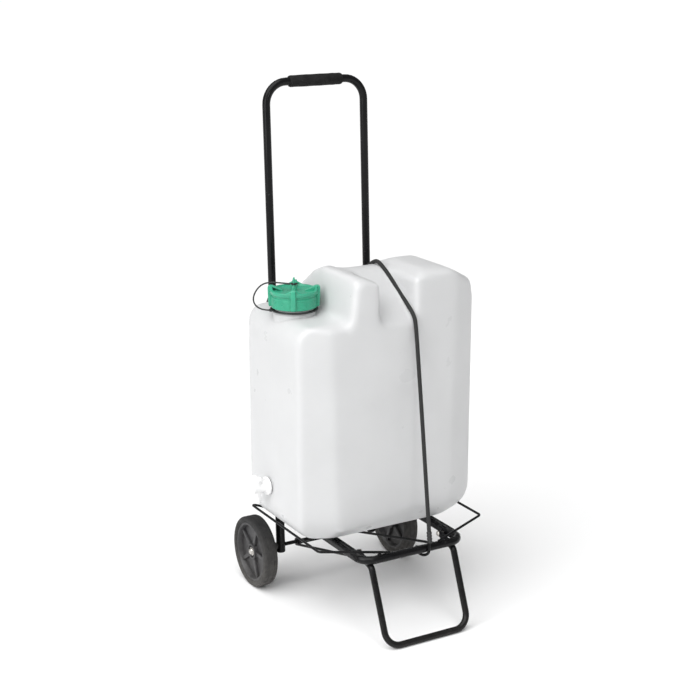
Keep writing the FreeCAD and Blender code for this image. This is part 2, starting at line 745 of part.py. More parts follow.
def tank_form(inset):
    """Return the tank's closed outer form, or its inside when it is inset by the wall."""
    bottom = float(D["tank_bottom"]) + inset
    top = float(D["tank_top"]) - inset
    front = -float(D["tank_front"])
    rear = -float(D["tank_rear"])
    sections = []
    for degrees in (0, 18, 36, 54, 72, 90):
        turn = math.radians(degrees)
        sections.append(plan_outline(inset + (BASE_ROUND - inset) * (1 - math.sin(turn)),
                                     bottom + (BASE_ROUND - inset) * (1 - math.cos(turn))))
    sections.append(plan_outline(inset, top))
    form = Part.makeLoft(sections, True, True)
    deck = float(D["tank_deck"]) - inset
    saddle = SADDLE - inset
    over = top + 20
    cuts = [
        prism([(-230, deck - 6), (-190, deck), (DECK_EDGE + inset, deck),
               (DECK_EDGE + 9 + inset, top - 10), (DECK_EDGE + 22 + inset, over), (-230, over)],
              "XZ", front - 10, rear + 10),
        prism([(116 - inset, over), (122 - inset * 0.3, top), (188 - inset, 671 - inset),
               (200 - inset, 640), (230, 600), (230, over)],
              "XZ", front - 10, rear + 10),
        prism([(SADDLE_SPAN[0] - 18 + inset, top), (SADDLE_SPAN[0] + inset, saddle),
               (SADDLE_SPAN[1] - inset, saddle), (SADDLE_SPAN[1] + 18 - inset, top),
               (SADDLE_SPAN[1] + 18, over), (SADDLE_SPAN[0] - 18, over)],
              "XZ", front - 10, rear + 10),
    ]
    for face, way in ((front, 1), (rear, -1)):
        shoulder = [
            (face + way * (70 + inset), top), (face + way * inset, top - 26),
            (face - way * 20, top - 34), (face - way * 20, over), (face + way * 70, over),
        ]
        cuts.append(prism(shoulder, "YZ", -220, 220))
        slope = [
            (TANK_MIDDLE - way * (16 - inset * 0.3), saddle),
            (face + way * (10 + inset), RECESS_FOOT + 4 - inset),
            (face - way * 20, RECESS_FOOT - 16 - inset),
            (face - way * 20, over),
            (TANK_MIDDLE - way * (16 - inset * 0.3), over),
        ]
        cuts.append(prism(slope, "YZ", RECESS_SPAN[0] - inset, RECESS_SPAN[1] + inset))
    cuts.append(upright(CAP_ROOM + inset, deck, over))
    return form.cut(cuts)


def upright(radius, low_end, high_end):
    """Return a cylinder on the neck's axis between two heights."""
    base = Vector(-float(D["neck_offset"]), TANK_MIDDLE, low_end)
    return Part.makeCylinder(radius, high_end - low_end, base)


NECK_TOP = float(D["cap_bottom"]) + 26.0
NECK_BORE = float(D["neck_radius"]) - 4.0
TAP_TAIL = 10.5
TANK_WALL = float(D["tank_wall"])
NECK_OUTER = float(D["neck_radius"])
DECK_TOP = float(D["tank_deck"])
tap_axis = Vector(-float(D["tank_half_length"]) - 10, -float(D["tap_front"]), float(D["tap_height"]))

shell_shape = tank_form(0).fuse([
    upright(NECK_OUTER, DECK_TOP - 6, NECK_TOP),
    upright(NECK_OUTER + 7.0, DECK_TOP - 6, DECK_TOP + 7.0),
])
shell_shape = shell_shape.cut([tank_form(TANK_WALL), upright(NECK_BORE, DECK_TOP - 20, NECK_TOP + 1)])
shell_shape = shell_shape.cut(Part.makeCylinder(TAP_TAIL, 24, tap_axis, Vector(1, 0, 0)))
shell = doc.addObject("Part::Feature", "tank_shell")
shell.Shape = shell_shape
keep(shell, "tank_shell")

# ---------------------------------------------------------------- cap, its seal and its tether


def on_neck(obj):
    """Stand an object, modelled about Z, on the neck's axis."""
    return move(obj, x=-D["neck_offset"], y=-(D["tank_front"] + D["tank_rear"]) / 2)


SEAL = 2.5
CAP_ROOF = NECK_TOP + 0.1 + SEAL
CAP_TOP = float(D["cap_bottom"]) + float(D["cap_depth"])
seal = revolve("cap_seal", [
    (0, NECK_TOP + 0.1),
    (D["neck_radius"] - 0.4, NECK_TOP + 0.1),
    (D["neck_radius"] - 0.4, CAP_ROOF - 0.05),
    (0, CAP_ROOF - 0.05),
])
on_neck(seal)

cap_skin = revolve("cap_skin", [
    (D["neck_radius"] + GAP, D["cap_bottom"]),
    (D["cap_radius"] - 0.6, D["cap_bottom"]),
    (D["cap_radius"], D["cap_bottom"] + 1.0),
    (D["cap_radius"], D["cap_bottom"] + 25.0),
    (D["cap_radius"] + 1.6, D["cap_bottom"] + 27.0),
    (D["cap_radius"] + 1.6, CAP_TOP - 1.0),
    (D["cap_radius"] + 0.4, CAP_TOP),
    (D["cap_radius"] - 4.0, CAP_TOP),
    (D["cap_radius"] - 6.0, CAP_ROOF + 2.4),
    (5.0, CAP_ROOF + 2.4),
    (5.0, CAP_TOP + 8.6),
    (2.0, CAP_TOP + 8.6),
    (2.0, CAP_TOP + 22.0),
    (1.2, CAP_TOP + 23.0),
    (0, CAP_TOP + 23.0),
    (0, CAP_ROOF),
    (D["neck_radius"] + GAP, CAP_ROOF),
])
nodes.remove(cap_skin)
LOBES = 4
LOBE_TURN = 60.0
lobe_points = [
    (float(D["cap_radius"]) - 1.5, float(D["cap_bottom"])),
    (float(D["cap_radius"]) + 5.6, float(D["cap_bottom"])),
    (float(D["cap_radius"]) + 6.2, CAP_TOP + 5.0),
    (float(D["cap_radius"]) + 2.0, CAP_TOP + 9.0),
    (float(D["cap_radius"]) - 5.0, CAP_TOP + 8.0),
    (20.0, CAP_TOP + 1.0),
    (20.0, CAP_ROOF + 1.0),
    (float(D["cap_radius"]) - 1.5, CAP_ROOF + 1.0),
]
lobes = []
for index in range(LOBES):
    lobe = doc.addObject("Part::Feature", "cap_lobe_%d" % index)
    shape = prism(lobe_points, "XZ", -4.5, 4.5)
    lobe.Shape = shape
    turned = Rotation(Vector(0, 0, 1), LOBE_TURN + 360.0 / LOBES * index)
    lobe.Placement = Placement(Vector(0, 0, 0), turned)
    lobes.append(lobe)
on_neck(keep(fuse("screw_cap", cap_skin, *lobes), "screw_cap"))

RING_HEIGHT = float(D["cap_bottom"]) - 6.0
ring = revolve("tether_ring", [
    (D["neck_radius"] + GAP, RING_HEIGHT),
    (D["neck_radius"] + 8.0, RING_HEIGHT),
    (D["neck_radius"] + 9.0, RING_HEIGHT + 1.2),
    (D["neck_radius"] + 8.0, RING_HEIGHT + 2.4),
    (D["neck_radius"] + GAP, RING_HEIGHT + 2.4),
])
on_neck(ring)

eyelet = revolve("tether_eye", [
    (2.1, CAP_TOP + 8.7),
    (6.4, CAP_TOP + 8.7),
    (7.0, CAP_TOP + 10.2),
    (6.4, CAP_TOP + 11.7),
    (2.1, CAP_TOP + 11.7),
])
on_neck(eyelet)


def corner_radii(points):
    """Return, for each corner of a slack cord's route, the largest arc that its runs allow."""
    spots = [Vector(*point) for point in points]
    radii = []
    for before, here, after in zip(spots, spots[1:], spots[2:]):
        turn = math.pi - (before - here).getAngle(after - here)
        shorter = min((before - here).Length, (after - here).Length)
        radii.append(0.45 * shorter / math.tan(turn / 2))
    return radii


TETHER_ROUTE = [
    (-155.2, -137.4, 677.0),
    (-170.0, -128.0, 678.8),
    (-187.0, -115.0, 679.6),
    (-201.0, -108.0, 676.0),
    (-212.0, -104.5, 665.0),
    (-218.5, -104.0, 652.0),
    (-219.0, -106.5, 640.5),
    (-213.5, -113.0, 631.5),
    (-203.0, -121.5, 627.6),
    (-192.5, -129.0, 627.2),
]
tether = sweep("cap_tether", TETHER_ROUTE, corner_radii(TETHER_ROUTE), D["tether_radius"])
keep(tether, "cap_tether")

# ---------------------------------------------------------------- drain tap in the left end

TAP_FACE = D["tank_half_length"] + 2.0


def on_tap(obj, start=0):
    """Turn an object modelled along Z to point outwards along the tap's axis."""
    return move(obj, x=-as_dim(start), y=-D["tap_front"], z=D["tap_height"], axis=ALONG_X, angle=-90)


tap_gasket = revolve("tap_gasket", [
    (TAP_TAIL, 0.02), (16.0, 0.02), (16.5, 1.0), (16.0, 1.98), (TAP_TAIL, 1.98),
])
on_tap(tap_gasket, D["tank_half_length"])

back_nut = revolve("tap_back_nut", [
    (TAP_TAIL, 0), (18.0, 0), (18.0, 6.0), (16.0, 7.0), (TAP_TAIL, 7.0),
])
on_tap(back_nut, D["tank_half_length"] - D["tank_wall"] - 7.1)

SPOUT_OUT = 25.0
SPOUT_RADIUS = 9.0
SPOUT_LENGTH = 18.0
SPOUT_END = 30.0
PLUG_RADIUS = 6.0
body_turned = revolve("tap_barrel", [
    (6.0, -14.0), (TAP_TAIL, -14.0), (TAP_TAIL, 0), (17.0, 0), (18.0, 1.0), (18.0, 5.0),
    (17.0, 6.0), (11.5, 7.0), (10.5, 10.0), (10.5, 36.0), (8.5, 38.5), (0, 38.5), (0, 36.0), (6.0, 36.0),
])
nodes.remove(body_turned)
on_tap(body_turned, TAP_FACE)
spout_place = dict(x=-TAP_FACE - SPOUT_OUT, y=-D["tap_front"])
spout = disc("tap_spout", SPOUT_RADIUS, SPOUT_LENGTH, z=D["tap_height"] - SPOUT_END, **spout_place)
spout_root = disc("tap_spout_root", SPOUT_RADIUS + 1.2, SPOUT_END - SPOUT_LENGTH,
                  z=D["tap_height"] - SPOUT_END + SPOUT_LENGTH, **spout_place)
tower = disc("tap_tower", 9.5, 15.0, z=D["tap_height"], **spout_place)
way_down = disc("tap_way_down", 6.0, 32.0, z=D["tap_height"] - 31.0, **spout_place)
plug_seat = disc("tap_plug_seat", PLUG_RADIUS + float(D["shaft_gap"]), 27.0,
                 z=D["tap_height"] - 8.0, **spout_place)
tap_solid = fuse("tap_solid", body_turned, spout, spout_root, tower)
keep(cut("tap_body", tap_solid, fuse("tap_ways", way_down, plug_seat)), "tap_body")

# Plug: the turning key that opens the tap, with its waterway and its lever.
key = disc("key_shaft", PLUG_RADIUS, 26.0, z=D["tap_height"] - 7.0, **spout_place)
key_head = disc("key_head", 10.0, 5.0, z=D["tap_height"] + 15.3, **spout_place)
lever = block("key_lever", 7.0, 30.0, 6.0, -TAP_FACE - SPOUT_OUT - 3.5, -D["tap_front"] - 15.0,
              D["tap_height"] + 16.3)
waterway = disc("key_waterway", 4.0, 40.0, x=-TAP_FACE - SPOUT_OUT, y=-D["tap_front"] - 20.0,
                z=D["tap_height"], axis=ALONG_Y, angle=90)
keep(cut("tap_key", fuse("key_solid", key, key_head, lever), waterway), "tap_key")

# ---------------------------------------------------------------- elastic strap and its hooks

STRAP_ROUTE = [
    (38.0, 12.4, 176.0),
    (38.0, 7.0, 400.0),
    (38.0, 4.0, 606.0),
    (38.0, -3.5, 624.0),
    (38.0, -126.0, 701.0),
    (38.0, -156.0, 701.0),
    (39.0, -277.5, 621.0),
    (39.0, -284.5, 604.0),
    (34.0, -322.0, 400.0),
    (29.5, -357.4, 192.0),
]
edge_arcs = [400.0, 26.0, 26.0, 24.0, 24.0, 26.0, 26.0, 400.0]
strap = sweep("elastic_strap", STRAP_ROUTE, edge_arcs, D["strap_radius"])
keep(strap, "elastic_strap")


def hook(label, strap_end, crook, radius, facing):
    """Make a wire hook that hangs from a strap's end and turns up under a cross tube."""
    out = Vector(*facing)
    centre = Vector(*crook)
    top = Vector(*strap_end)
    shank = centre + out * radius
    tip = centre - out * radius
    drop = Vector(0, 0, radius)
    line = [top, shank + Vector(0, 0, 6), shank - drop, tip - drop, tip + Vector(0, 0, 4)]
    turn = (line[0] - line[1]).getAngle(line[2] - line[1])
    arcs = [8.0 if turn < math.radians(179) else 1.0, radius * 0.95, radius * 0.95]
    wire = sweep(label, [tuple(point) for point in line], arcs, D["hook_radius"])
    return keep(wire, label)


def ferrule(label, end, towards):
    """Make the crimped sleeve that joins the strap's end to its hook."""
    start = Vector(*end)
    way = (Vector(*towards) - start).normalize()
    sleeve = bind(doc.addObject("Part::Cylinder", label), Radius=D["strap_radius"] + 1.2, Height=22)
    sleeve.Placement = Placement(start - way * 11.0, Rotation(Vector(0, 0, 1), way))
    return sleeve


HOOK_TURN = math.radians(35)
HOOK_GAP = 0.5
FRONT_FACING = (math.sin(HOOK_TURN), -math.cos(HOOK_TURN), 0)
FRONT_CROOK = (21.0, -float(D["platform_front"]), float(D["platform_height"]))
FRONT_RADIUS = float(D["rail_radius"] + D["hook_radius"]) + 5 * HOOK_GAP
REAR_CROOK = (38.0, float(tube_line(LOWER_CROSS)), LOWER_CROSS)
REAR_RADIUS = float(CROSS_RADIUS + D["hook_radius"]) + HOOK_GAP

hook("strap_hook_front", STRAP_ROUTE[-1], FRONT_CROOK, FRONT_RADIUS, FRONT_FACING)
hook("strap_hook_rear", STRAP_ROUTE[0], REAR_CROOK, REAR_RADIUS, (0, 1, 0))
keep(ferrule("strap_ferrule_front", STRAP_ROUTE[-1], STRAP_ROUTE[-2]), "strap_ferrule_front")
keep(ferrule("strap_ferrule_rear", STRAP_ROUTE[0], STRAP_ROUTE[1]), "strap_ferrule_rear")

# ---------------------------------------------------------------- check and write


def check_document():
    """Stop if any feature failed or any sub-part has no sound shape."""
    for obj in doc.Objects:
        if "Invalid" in obj.State or "Error" in obj.State:
            raise RuntimeError("feature failed: " + obj.Name)
    for node in nodes:
        if node.Shape.isNull() or not node.Shape.isValid():
            raise RuntimeError("shape failed: " + node.Label)


def check_cord(node, radius):
    """Print a cord's length and stop if its solid is not its section times its length."""
    length = node.Spine[0].Shape.Length
    expected = math.pi * float(radius) ** 2 * length
    print(node.Label, "length", round(length, 1), "mm")
    if abs(node.Shape.Volume / expected - 1) > 0.01:
        raise RuntimeError("cord solid is wrong: " + node.Label)


doc.recompute()
check_document()
check_cord(strap, D["strap_radius"])
check_cord(tether, D["tether_radius"])
os.makedirs("parts", exist_ok=True)
for node in nodes:
    node.Shape.exportStep("parts/%s.step" % node.Label)
print(len(nodes), "sub-parts written")
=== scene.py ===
import json
import logging
import math
from contextlib import contextmanager
from dataclasses import dataclass
from enum import Enum
from typing import Callable, Iterator, Sequence

import bpy
from mathutils import Matrix, Vector

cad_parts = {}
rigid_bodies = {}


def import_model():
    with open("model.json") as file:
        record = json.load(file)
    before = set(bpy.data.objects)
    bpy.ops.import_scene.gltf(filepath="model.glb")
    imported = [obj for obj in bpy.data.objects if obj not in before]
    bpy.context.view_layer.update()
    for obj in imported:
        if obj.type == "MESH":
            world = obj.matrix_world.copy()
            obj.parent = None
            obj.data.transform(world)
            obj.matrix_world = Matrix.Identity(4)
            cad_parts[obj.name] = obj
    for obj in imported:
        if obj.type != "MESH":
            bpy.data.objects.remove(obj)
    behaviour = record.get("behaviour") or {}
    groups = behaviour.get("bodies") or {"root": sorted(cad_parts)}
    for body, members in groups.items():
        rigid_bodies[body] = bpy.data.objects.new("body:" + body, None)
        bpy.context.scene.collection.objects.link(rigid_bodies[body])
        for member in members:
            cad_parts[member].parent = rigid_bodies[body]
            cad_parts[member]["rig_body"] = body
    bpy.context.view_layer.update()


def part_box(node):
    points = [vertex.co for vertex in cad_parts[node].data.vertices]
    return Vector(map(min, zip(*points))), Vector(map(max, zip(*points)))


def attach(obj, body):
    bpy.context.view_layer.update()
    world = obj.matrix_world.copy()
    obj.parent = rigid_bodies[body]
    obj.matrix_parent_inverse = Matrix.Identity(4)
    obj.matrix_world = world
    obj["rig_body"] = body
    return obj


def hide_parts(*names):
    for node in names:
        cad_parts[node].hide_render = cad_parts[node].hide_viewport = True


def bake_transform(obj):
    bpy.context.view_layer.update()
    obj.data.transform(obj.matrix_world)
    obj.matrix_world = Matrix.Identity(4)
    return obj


# Portable waste tote: a blow-moulded tank strapped to a folding two-wheeled trolley.
# Metres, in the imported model's frame: X along the axle, -Y to the front, +Z up from the floor.

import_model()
log = logging.getLogger("waste_tote")

Point = tuple[float, float, float]
Colour = tuple[float, float, float]
Outline = Sequence[tuple[float, float]]
Thing = bpy.types.Object


# ---------------------------------------------------------------- the bench: modelling by hand


def deselect() -> None:
    """Leave edit mode and select nothing."""
    if bpy.context.mode != "OBJECT":
        bpy.ops.object.mode_set(mode="OBJECT")
    bpy.ops.object.select_all(action="DESELECT")


def activate(thing: Thing) -> None:
    """Select one object alone and make it active.

    Args:
        thing: The object to select.
    """
    deselect()
    thing.select_set(True)
    bpy.context.view_layer.objects.active = thing


def take(name: str) -> Thing:
    """Name the primitive that was just added, and fix its place in its mesh.

    Args:
        name: The piece's name.

    Returns:
        The new object, at the origin and unscaled.
    """
    thing = bpy.context.object
    thing.name = name
    thing.data.name = name
    bpy.ops.object.transform_apply(location=True, rotation=True, scale=True)
    return thing


@contextmanager
def edit(thing: Thing) -> Iterator[None]:
    """Edit a mesh with all of it selected, and leave edit mode afterwards.

    Args:
        thing: The mesh to edit.
    """
    activate(thing)
    bpy.ops.object.mode_set(mode="EDIT")
    bpy.ops.mesh.select_mode(type="VERT")
    bpy.ops.mesh.select_all(action="SELECT")
    yield
    bpy.ops.object.mode_set(mode="OBJECT")


def pick_faces(thing: Thing, wanted: Callable[[Vector, Vector], bool]) -> None:
    """Select only the faces whose middle and normal pass a test, and stay in edit mode.

    Args:
        thing: The mesh that is being edited.
        wanted: Takes a face's middle and its normal, and says whether to select it.
    """
    bpy.ops.mesh.select_mode(type="FACE")
    bpy.ops.mesh.select_all(action="DESELECT")
    bpy.ops.object.mode_set(mode="OBJECT")
    for face in thing.data.polygons:
        face.select = wanted(face.center, face.normal)
    bpy.ops.object.mode_set(mode="EDIT")


def pick_edges(thing: Thing, wanted: Callable[[Vector, Vector], bool]) -> None:
    """Select only the edges whose two ends pass a test, and stay in edit mode.

    Args:
        thing: The mesh that is being edited.
        wanted: Takes an edge's two ends, and says whether to select it.
    """
    bpy.ops.mesh.select_mode(type="EDGE")
    bpy.ops.mesh.select_all(action="DESELECT")
    bpy.ops.object.mode_set(mode="OBJECT")
    spots = [vertex.co.copy() for vertex in thing.data.vertices]
    for edge in thing.data.edges:
        edge.select = wanted(*(spots[index] for index in edge.vertices))
    bpy.ops.object.mode_set(mode="EDIT")


def modify(thing: Thing, kind: str, **settings: object) -> Thing:
    """Add a modifier, set it up and apply it.

    Args:
        thing: The mesh to modify.
        kind: The modifier's type, such as BEVEL.
        **settings: Its properties.

    Returns:
        The same object.
    """
    activate(thing)
    modifier = thing.modifiers.new(kind.lower(), kind)
    for name, value in settings.items():
        setattr(modifier, name, value)
    bpy.ops.object.modifier_apply(modifier=modifier.name)
    return thing


def soften(thing: Thing, width: float, segments: int = 3, angle: float = 40.0) -> Thing:
    """Round the edges that turn by more than an angle, in degrees."""
    return modify(thing, "BEVEL", width=width, segments=segments, limit_method="ANGLE",
                  angle_limit=math.radians(angle), use_clamp_overlap=True)


def carve(thing: Thing, *cutters: Thing) -> Thing:
    """Subtract cutters from a mesh, and throw them away.

    Args:
        thing: The mesh to cut.
        *cutters: The things to cut away.

    Returns:
        The same object.
    """
    for cutter in cutters:
        modify(thing, "BOOLEAN", operation="DIFFERENCE", object=cutter, solver="MANIFOLD")
        bpy.data.objects.remove(cutter)
    return thing


def weld(thing: Thing, *others: Thing) -> Thing:
    """Join other closed meshes to a mesh as one closed skin.

    Args:
        thing: The mesh to join them to.
        *others: The things to join on.

    Returns:
        The same object.
    """
    for other in others:
        modify(thing, "BOOLEAN", operation="UNION", object=other, solver="MANIFOLD")
        bpy.data.objects.remove(other)
    return thing


def gather(name: str, things: Sequence[Thing]) -> Thing:
    """Join separate meshes into one object without welding them.

    Args:
        name: The joined object's name.
        things: The meshes, of which the first is kept.

    Returns:
        The joined object.
    """
    activate(things[0])
    for thing in things:
        thing.select_set(True)
    bpy.ops.object.join()
    joined = bpy.context.object
    joined.name = name
    return joined


def put(thing: Thing, place: Matrix) -> Thing:
    """Move a finished mesh by a matrix, and keep its object at the origin.

    Args:
        thing: The finished mesh.
        place: The matrix that places it.

    Returns:
        The same object.
    """
    activate(thing)
    thing.matrix_world = place
    bpy.ops.object.transform_apply(location=True, rotation=True, scale=True)
    return thing


def facing(place: Sequence[float], way: Sequence[float]) -> Matrix:
    """Return the matrix that takes Z to a direction and the origin to a place."""
    turned = Vector(way).to_track_quat("Z", "Y").to_matrix().to_4x4()
    return Matrix.Translation(Vector(place)) @ turned


def chain(name: str, points: Sequence[Point]) -> Thing:
    """Draw a chain of edges by extruding one vertex from point to point, and stay in edit mode.

    Args:
        name: The new object's name.
        points: The places that the chain goes through.

    Returns:
        The new object, in edit mode with its last vertex selected.
    """
    deselect()
    bpy.ops.mesh.primitive_plane_add(size=0.001, location=points[0])
    thing = take(name)
    bpy.ops.object.mode_set(mode="EDIT")
    bpy.ops.mesh.select_mode(type="VERT")
    bpy.ops.mesh.select_all(action="SELECT")
    bpy.ops.mesh.merge(type="CENTER")
    for here, there in zip(points, points[1:]):
        step = Vector(there) - Vector(here)
        bpy.ops.mesh.extrude_region_move(TRANSFORM_OT_translate={"value": step})
    return thing


def turn(name: str, outline: Outline, steps: int = 48, closed: bool = True) -> Thing:
    """Spin an outline about Z into a closed skin.

    Args:
        name: The new object's name.
        outline: Points as (radius, height), in order.
        steps: How many facets go round.
        closed: Whether the outline's last point joins its first.

    Returns:
        The new object.
    """
    points = [(radius, 0.0, height) for radius, height in outline]
    thing = chain(name, points + points[:1] if closed else points)
    bpy.ops.mesh.select_all(action="SELECT")
    bpy.ops.mesh.spin(steps=steps, angle=math.tau, center=(0, 0, 0), axis=(0, 0, 1))
    bpy.ops.mesh.select_all(action="SELECT")
    bpy.ops.mesh.remove_doubles(threshold=5e-6)
    bpy.ops.mesh.delete_loose(use_faces=False)
    bpy.ops.mesh.select_all(action="SELECT")
    bpy.ops.mesh.normals_make_consistent(inside=False)
    bpy.ops.object.mode_set(mode="OBJECT")
    return thing


def prism(name: str, outline: Outline, across: str, low: float, high: float) -> Thing:
    """Extrude a closed outline straight across the object.

    Args:
        name: The new object's name.
        outline: Points as (x, z) for across Y, (y, z) for across X, or (x, y) for across Z.
        across: The axis letter that the outline is extruded along.
        low: Where it starts on that axis.
        high: Where it ends.

    Returns:
        The new closed object.
    """
    shapes = {"X": lambda a, b: (low, a, b), "Y": lambda a, b: (a, low, b), "Z": lambda a, b: (a, b, low)}
    points = [shapes[across](a, b) for a, b in outline]
    thing = chain(name, points + points[:1])
    bpy.ops.mesh.select_all(action="SELECT")
    bpy.ops.mesh.remove_doubles(threshold=1e-6)
    bpy.ops.mesh.select_all(action="SELECT")
    bpy.ops.mesh.edge_face_add()
    step = Vector([(high - low) * (letter == across) for letter in "XYZ"])
    bpy.ops.mesh.extrude_region_move(TRANSFORM_OT_translate={"value": step})
    bpy.ops.mesh.select_all(action="SELECT")
    bpy.ops.mesh.normals_make_consistent(inside=False)
    bpy.ops.object.mode_set(mode="OBJECT")
    return thing


def block(name: str, low: Sequence[float], high: Sequence[float]) -> Thing:
    """Add a box between two corners.

    Args:
        name: The new object's name.
        low: One corner.
        high: The corner opposite.

    Returns:
        The new object.
    """
    deselect()
    middle = [(a + b) / 2 for a, b in zip(low, high)]
    size = [b - a for a, b in zip(low, high)]
    bpy.ops.mesh.primitive_cube_add(size=1, location=middle, scale=size)
    return take(name)


def rod(name: str, start: Sequence[float], end: Sequence[float], radius: float, sides: int = 32) -> Thing:
    """Add a cylinder between two points.

    Args:
        name: The new object's name.
        start: Where it starts.
        end: Where it ends.
        radius: Its radius.
        sides: How many sides it has round it.

    Returns:
        The new object.
    """
    deselect()
    run = Vector(end) - Vector(start)
    bpy.ops.mesh.primitive_cylinder_add(
        vertices=sides, radius=radius, depth=run.length, location=(Vector(start) + Vector(end)) / 2,
        rotation=run.to_track_quat("Z", "Y").to_euler())
    return take(name)


def bend(name: str, route: Sequence[Point], radii: Sequence[float], radius: float,
         sides: int = 24, blunt: float = 0.3) -> Thing:
    """Make a bent tube: a ring is extruded along each straight run and spun round each bend.

    Args:
        name: The new object's name.
        route: The tube's end points, and the corners of its bends between them.
        radii: The bend radius at each corner.
        radius: The tube's own radius.
        sides: Facets round the tube.
        blunt: How far the ends are rounded, as a share of the radius.

    Returns:
        The new closed object.
    """
    spots = [Vector(point) for point in route]
    ahead = (spots[1] - spots[0]).normalized()
    deselect()
    bpy.ops.mesh.primitive_circle_add(
        vertices=sides, radius=radius, location=spots[0], fill_type="NOTHING",
        rotation=ahead.to_track_quat("Z", "Y").to_euler())
    thing = take(name)
    with edit(thing):
        here = spots[0]
        for before, corner, after, reach in zip(spots, spots[1:], spots[2:], radii):
            back = (before - corner).normalized()
            ahead = (after - corner).normalized()
            half = back.angle(ahead) / 2
            run = reach / math.tan(half)
            entry = corner + back * run
            bpy.ops.mesh.extrude_region_move(TRANSFORM_OT_translate={"value": entry - here})
            angle = math.pi - 2 * half
            bpy.ops.mesh.spin(
                steps=max(3, round(math.degrees(angle) / 9)), angle=angle,
                center=corner + (back + ahead).normalized() * (reach / math.sin(half)),
                axis=ahead.cross(-back).normalized())
            here = corner + ahead * run
        bpy.ops.mesh.extrude_region_move(TRANSFORM_OT_translate={"value": spots[-1] - here})
        bpy.ops.mesh.select_all(action="SELECT")
        bpy.ops.mesh.fill_holes(sides=0)
        bpy.ops.mesh.normals_make_consistent(inside=False)
    return soften(thing, radius * blunt, angle=60.0)


def bead(name: str, place: Sequence[float], way: Sequence[float], radius: float, seed: int) -> Thing:
    """Lay a slightly uneven weld bead round a tube.

    Args:
        name: The new object's name.
        place: Where it goes.
        way: The direction of its axis.
        radius: Its radius.
        seed: The seed for its unevenness.

    Returns:
        The new object.
    """
    deselect()
    bpy.ops.mesh.primitive_torus_add(
        location=place, rotation=Vector(way).to_track_quat("Z", "Y").to_euler(),
        major_radius=radius, minor_radius=0.0016, major_segments=28, minor_segments=8)
    thing = take(name)
    with edit(thing):
        bpy.ops.transform.vertex_random(offset=0.00045, seed=seed)
        bpy.ops.mesh.vertices_smooth(factor=0.3)
    return thing


# ---------------------------------------------------------------- finishes


class Wiring:
    """A material's node tree, with short calls to add and link its nodes."""

    def __init__(self, material: bpy.types.Material) -> None:
        """Start from a material's own Principled shader.

        Args:
            material: The material to wire.
        """
        self.nodes = material.node_tree.nodes
        self.links = material.node_tree.links
        self.shader = self.nodes["Principled BSDF"]

    def add(self, kind: str, output: int | str = 0, inputs: dict | None = None,
            **settings: object) -> bpy.types.NodeSocket:
        """Add a node and return one of its outputs.

        Args:
            kind: The node's type after ShaderNode.
            output: The output to return.
            inputs: Input values or sockets, by name or index.
            **settings: The node's own properties.

        Returns:
            The chosen output socket.
        """
        node = self.nodes.new("ShaderNode" + kind)
        for name, value in settings.items():
            setattr(node, name, value)
        for name, value in (inputs or {}).items():
            if isinstance(value, bpy.types.NodeSocket):
                self.links.new(value, node.inputs[name])
            else:
                node.inputs[name].default_value = value
        return node.outputs[output]

    def noise(self, where: bpy.types.NodeSocket, scale: float, detail: float = 3.0) -> bpy.types.NodeSocket:
        """Return a noise value at a scale per metre."""
        return self.add("TexNoise", "Fac", {"Vector": where, "Scale": scale, "Detail": detail})

    def span(self, value: bpy.types.NodeSocket, low: float, high: float, to_low: float,
             to_high: float) -> bpy.types.NodeSocket:
        """Return a value's range mapped onto another range."""
        return self.add("MapRange", "Result", {"Value": value, "From Min": low, "From Max": high,
                                               "To Min": to_low, "To Max": to_high})

    def math(self, operation: str, first: object, second: object = 0.0) -> bpy.types.NodeSocket:
        """Return the result of a math node on two values or sockets."""
        return self.add("Math", 0, {0: first, 1: second}, operation=operation)

    def blend(self, share: object, first: object, second: object) -> bpy.types.NodeSocket:
        """Return two colours mixed by a share."""
        return self.add("Mix", 2, {0: share, 6: first, 7: second}, data_type="RGBA")

    def split(self, where: bpy.types.NodeSocket) -> list[bpy.types.NodeSocket]:
        """Return a vector's three parts.

        Args:
            where: The vector to split.

        Returns:
            Its X, Y and Z sockets.
        """
        node = self.nodes.new("ShaderNodeSeparateXYZ")
        self.links.new(where, node.inputs[0])
        return list(node.outputs)


def rgba(colour: Colour) -> tuple[float, float, float, float]:
    """Return a colour with full opacity."""
    return (*colour, 1.0)


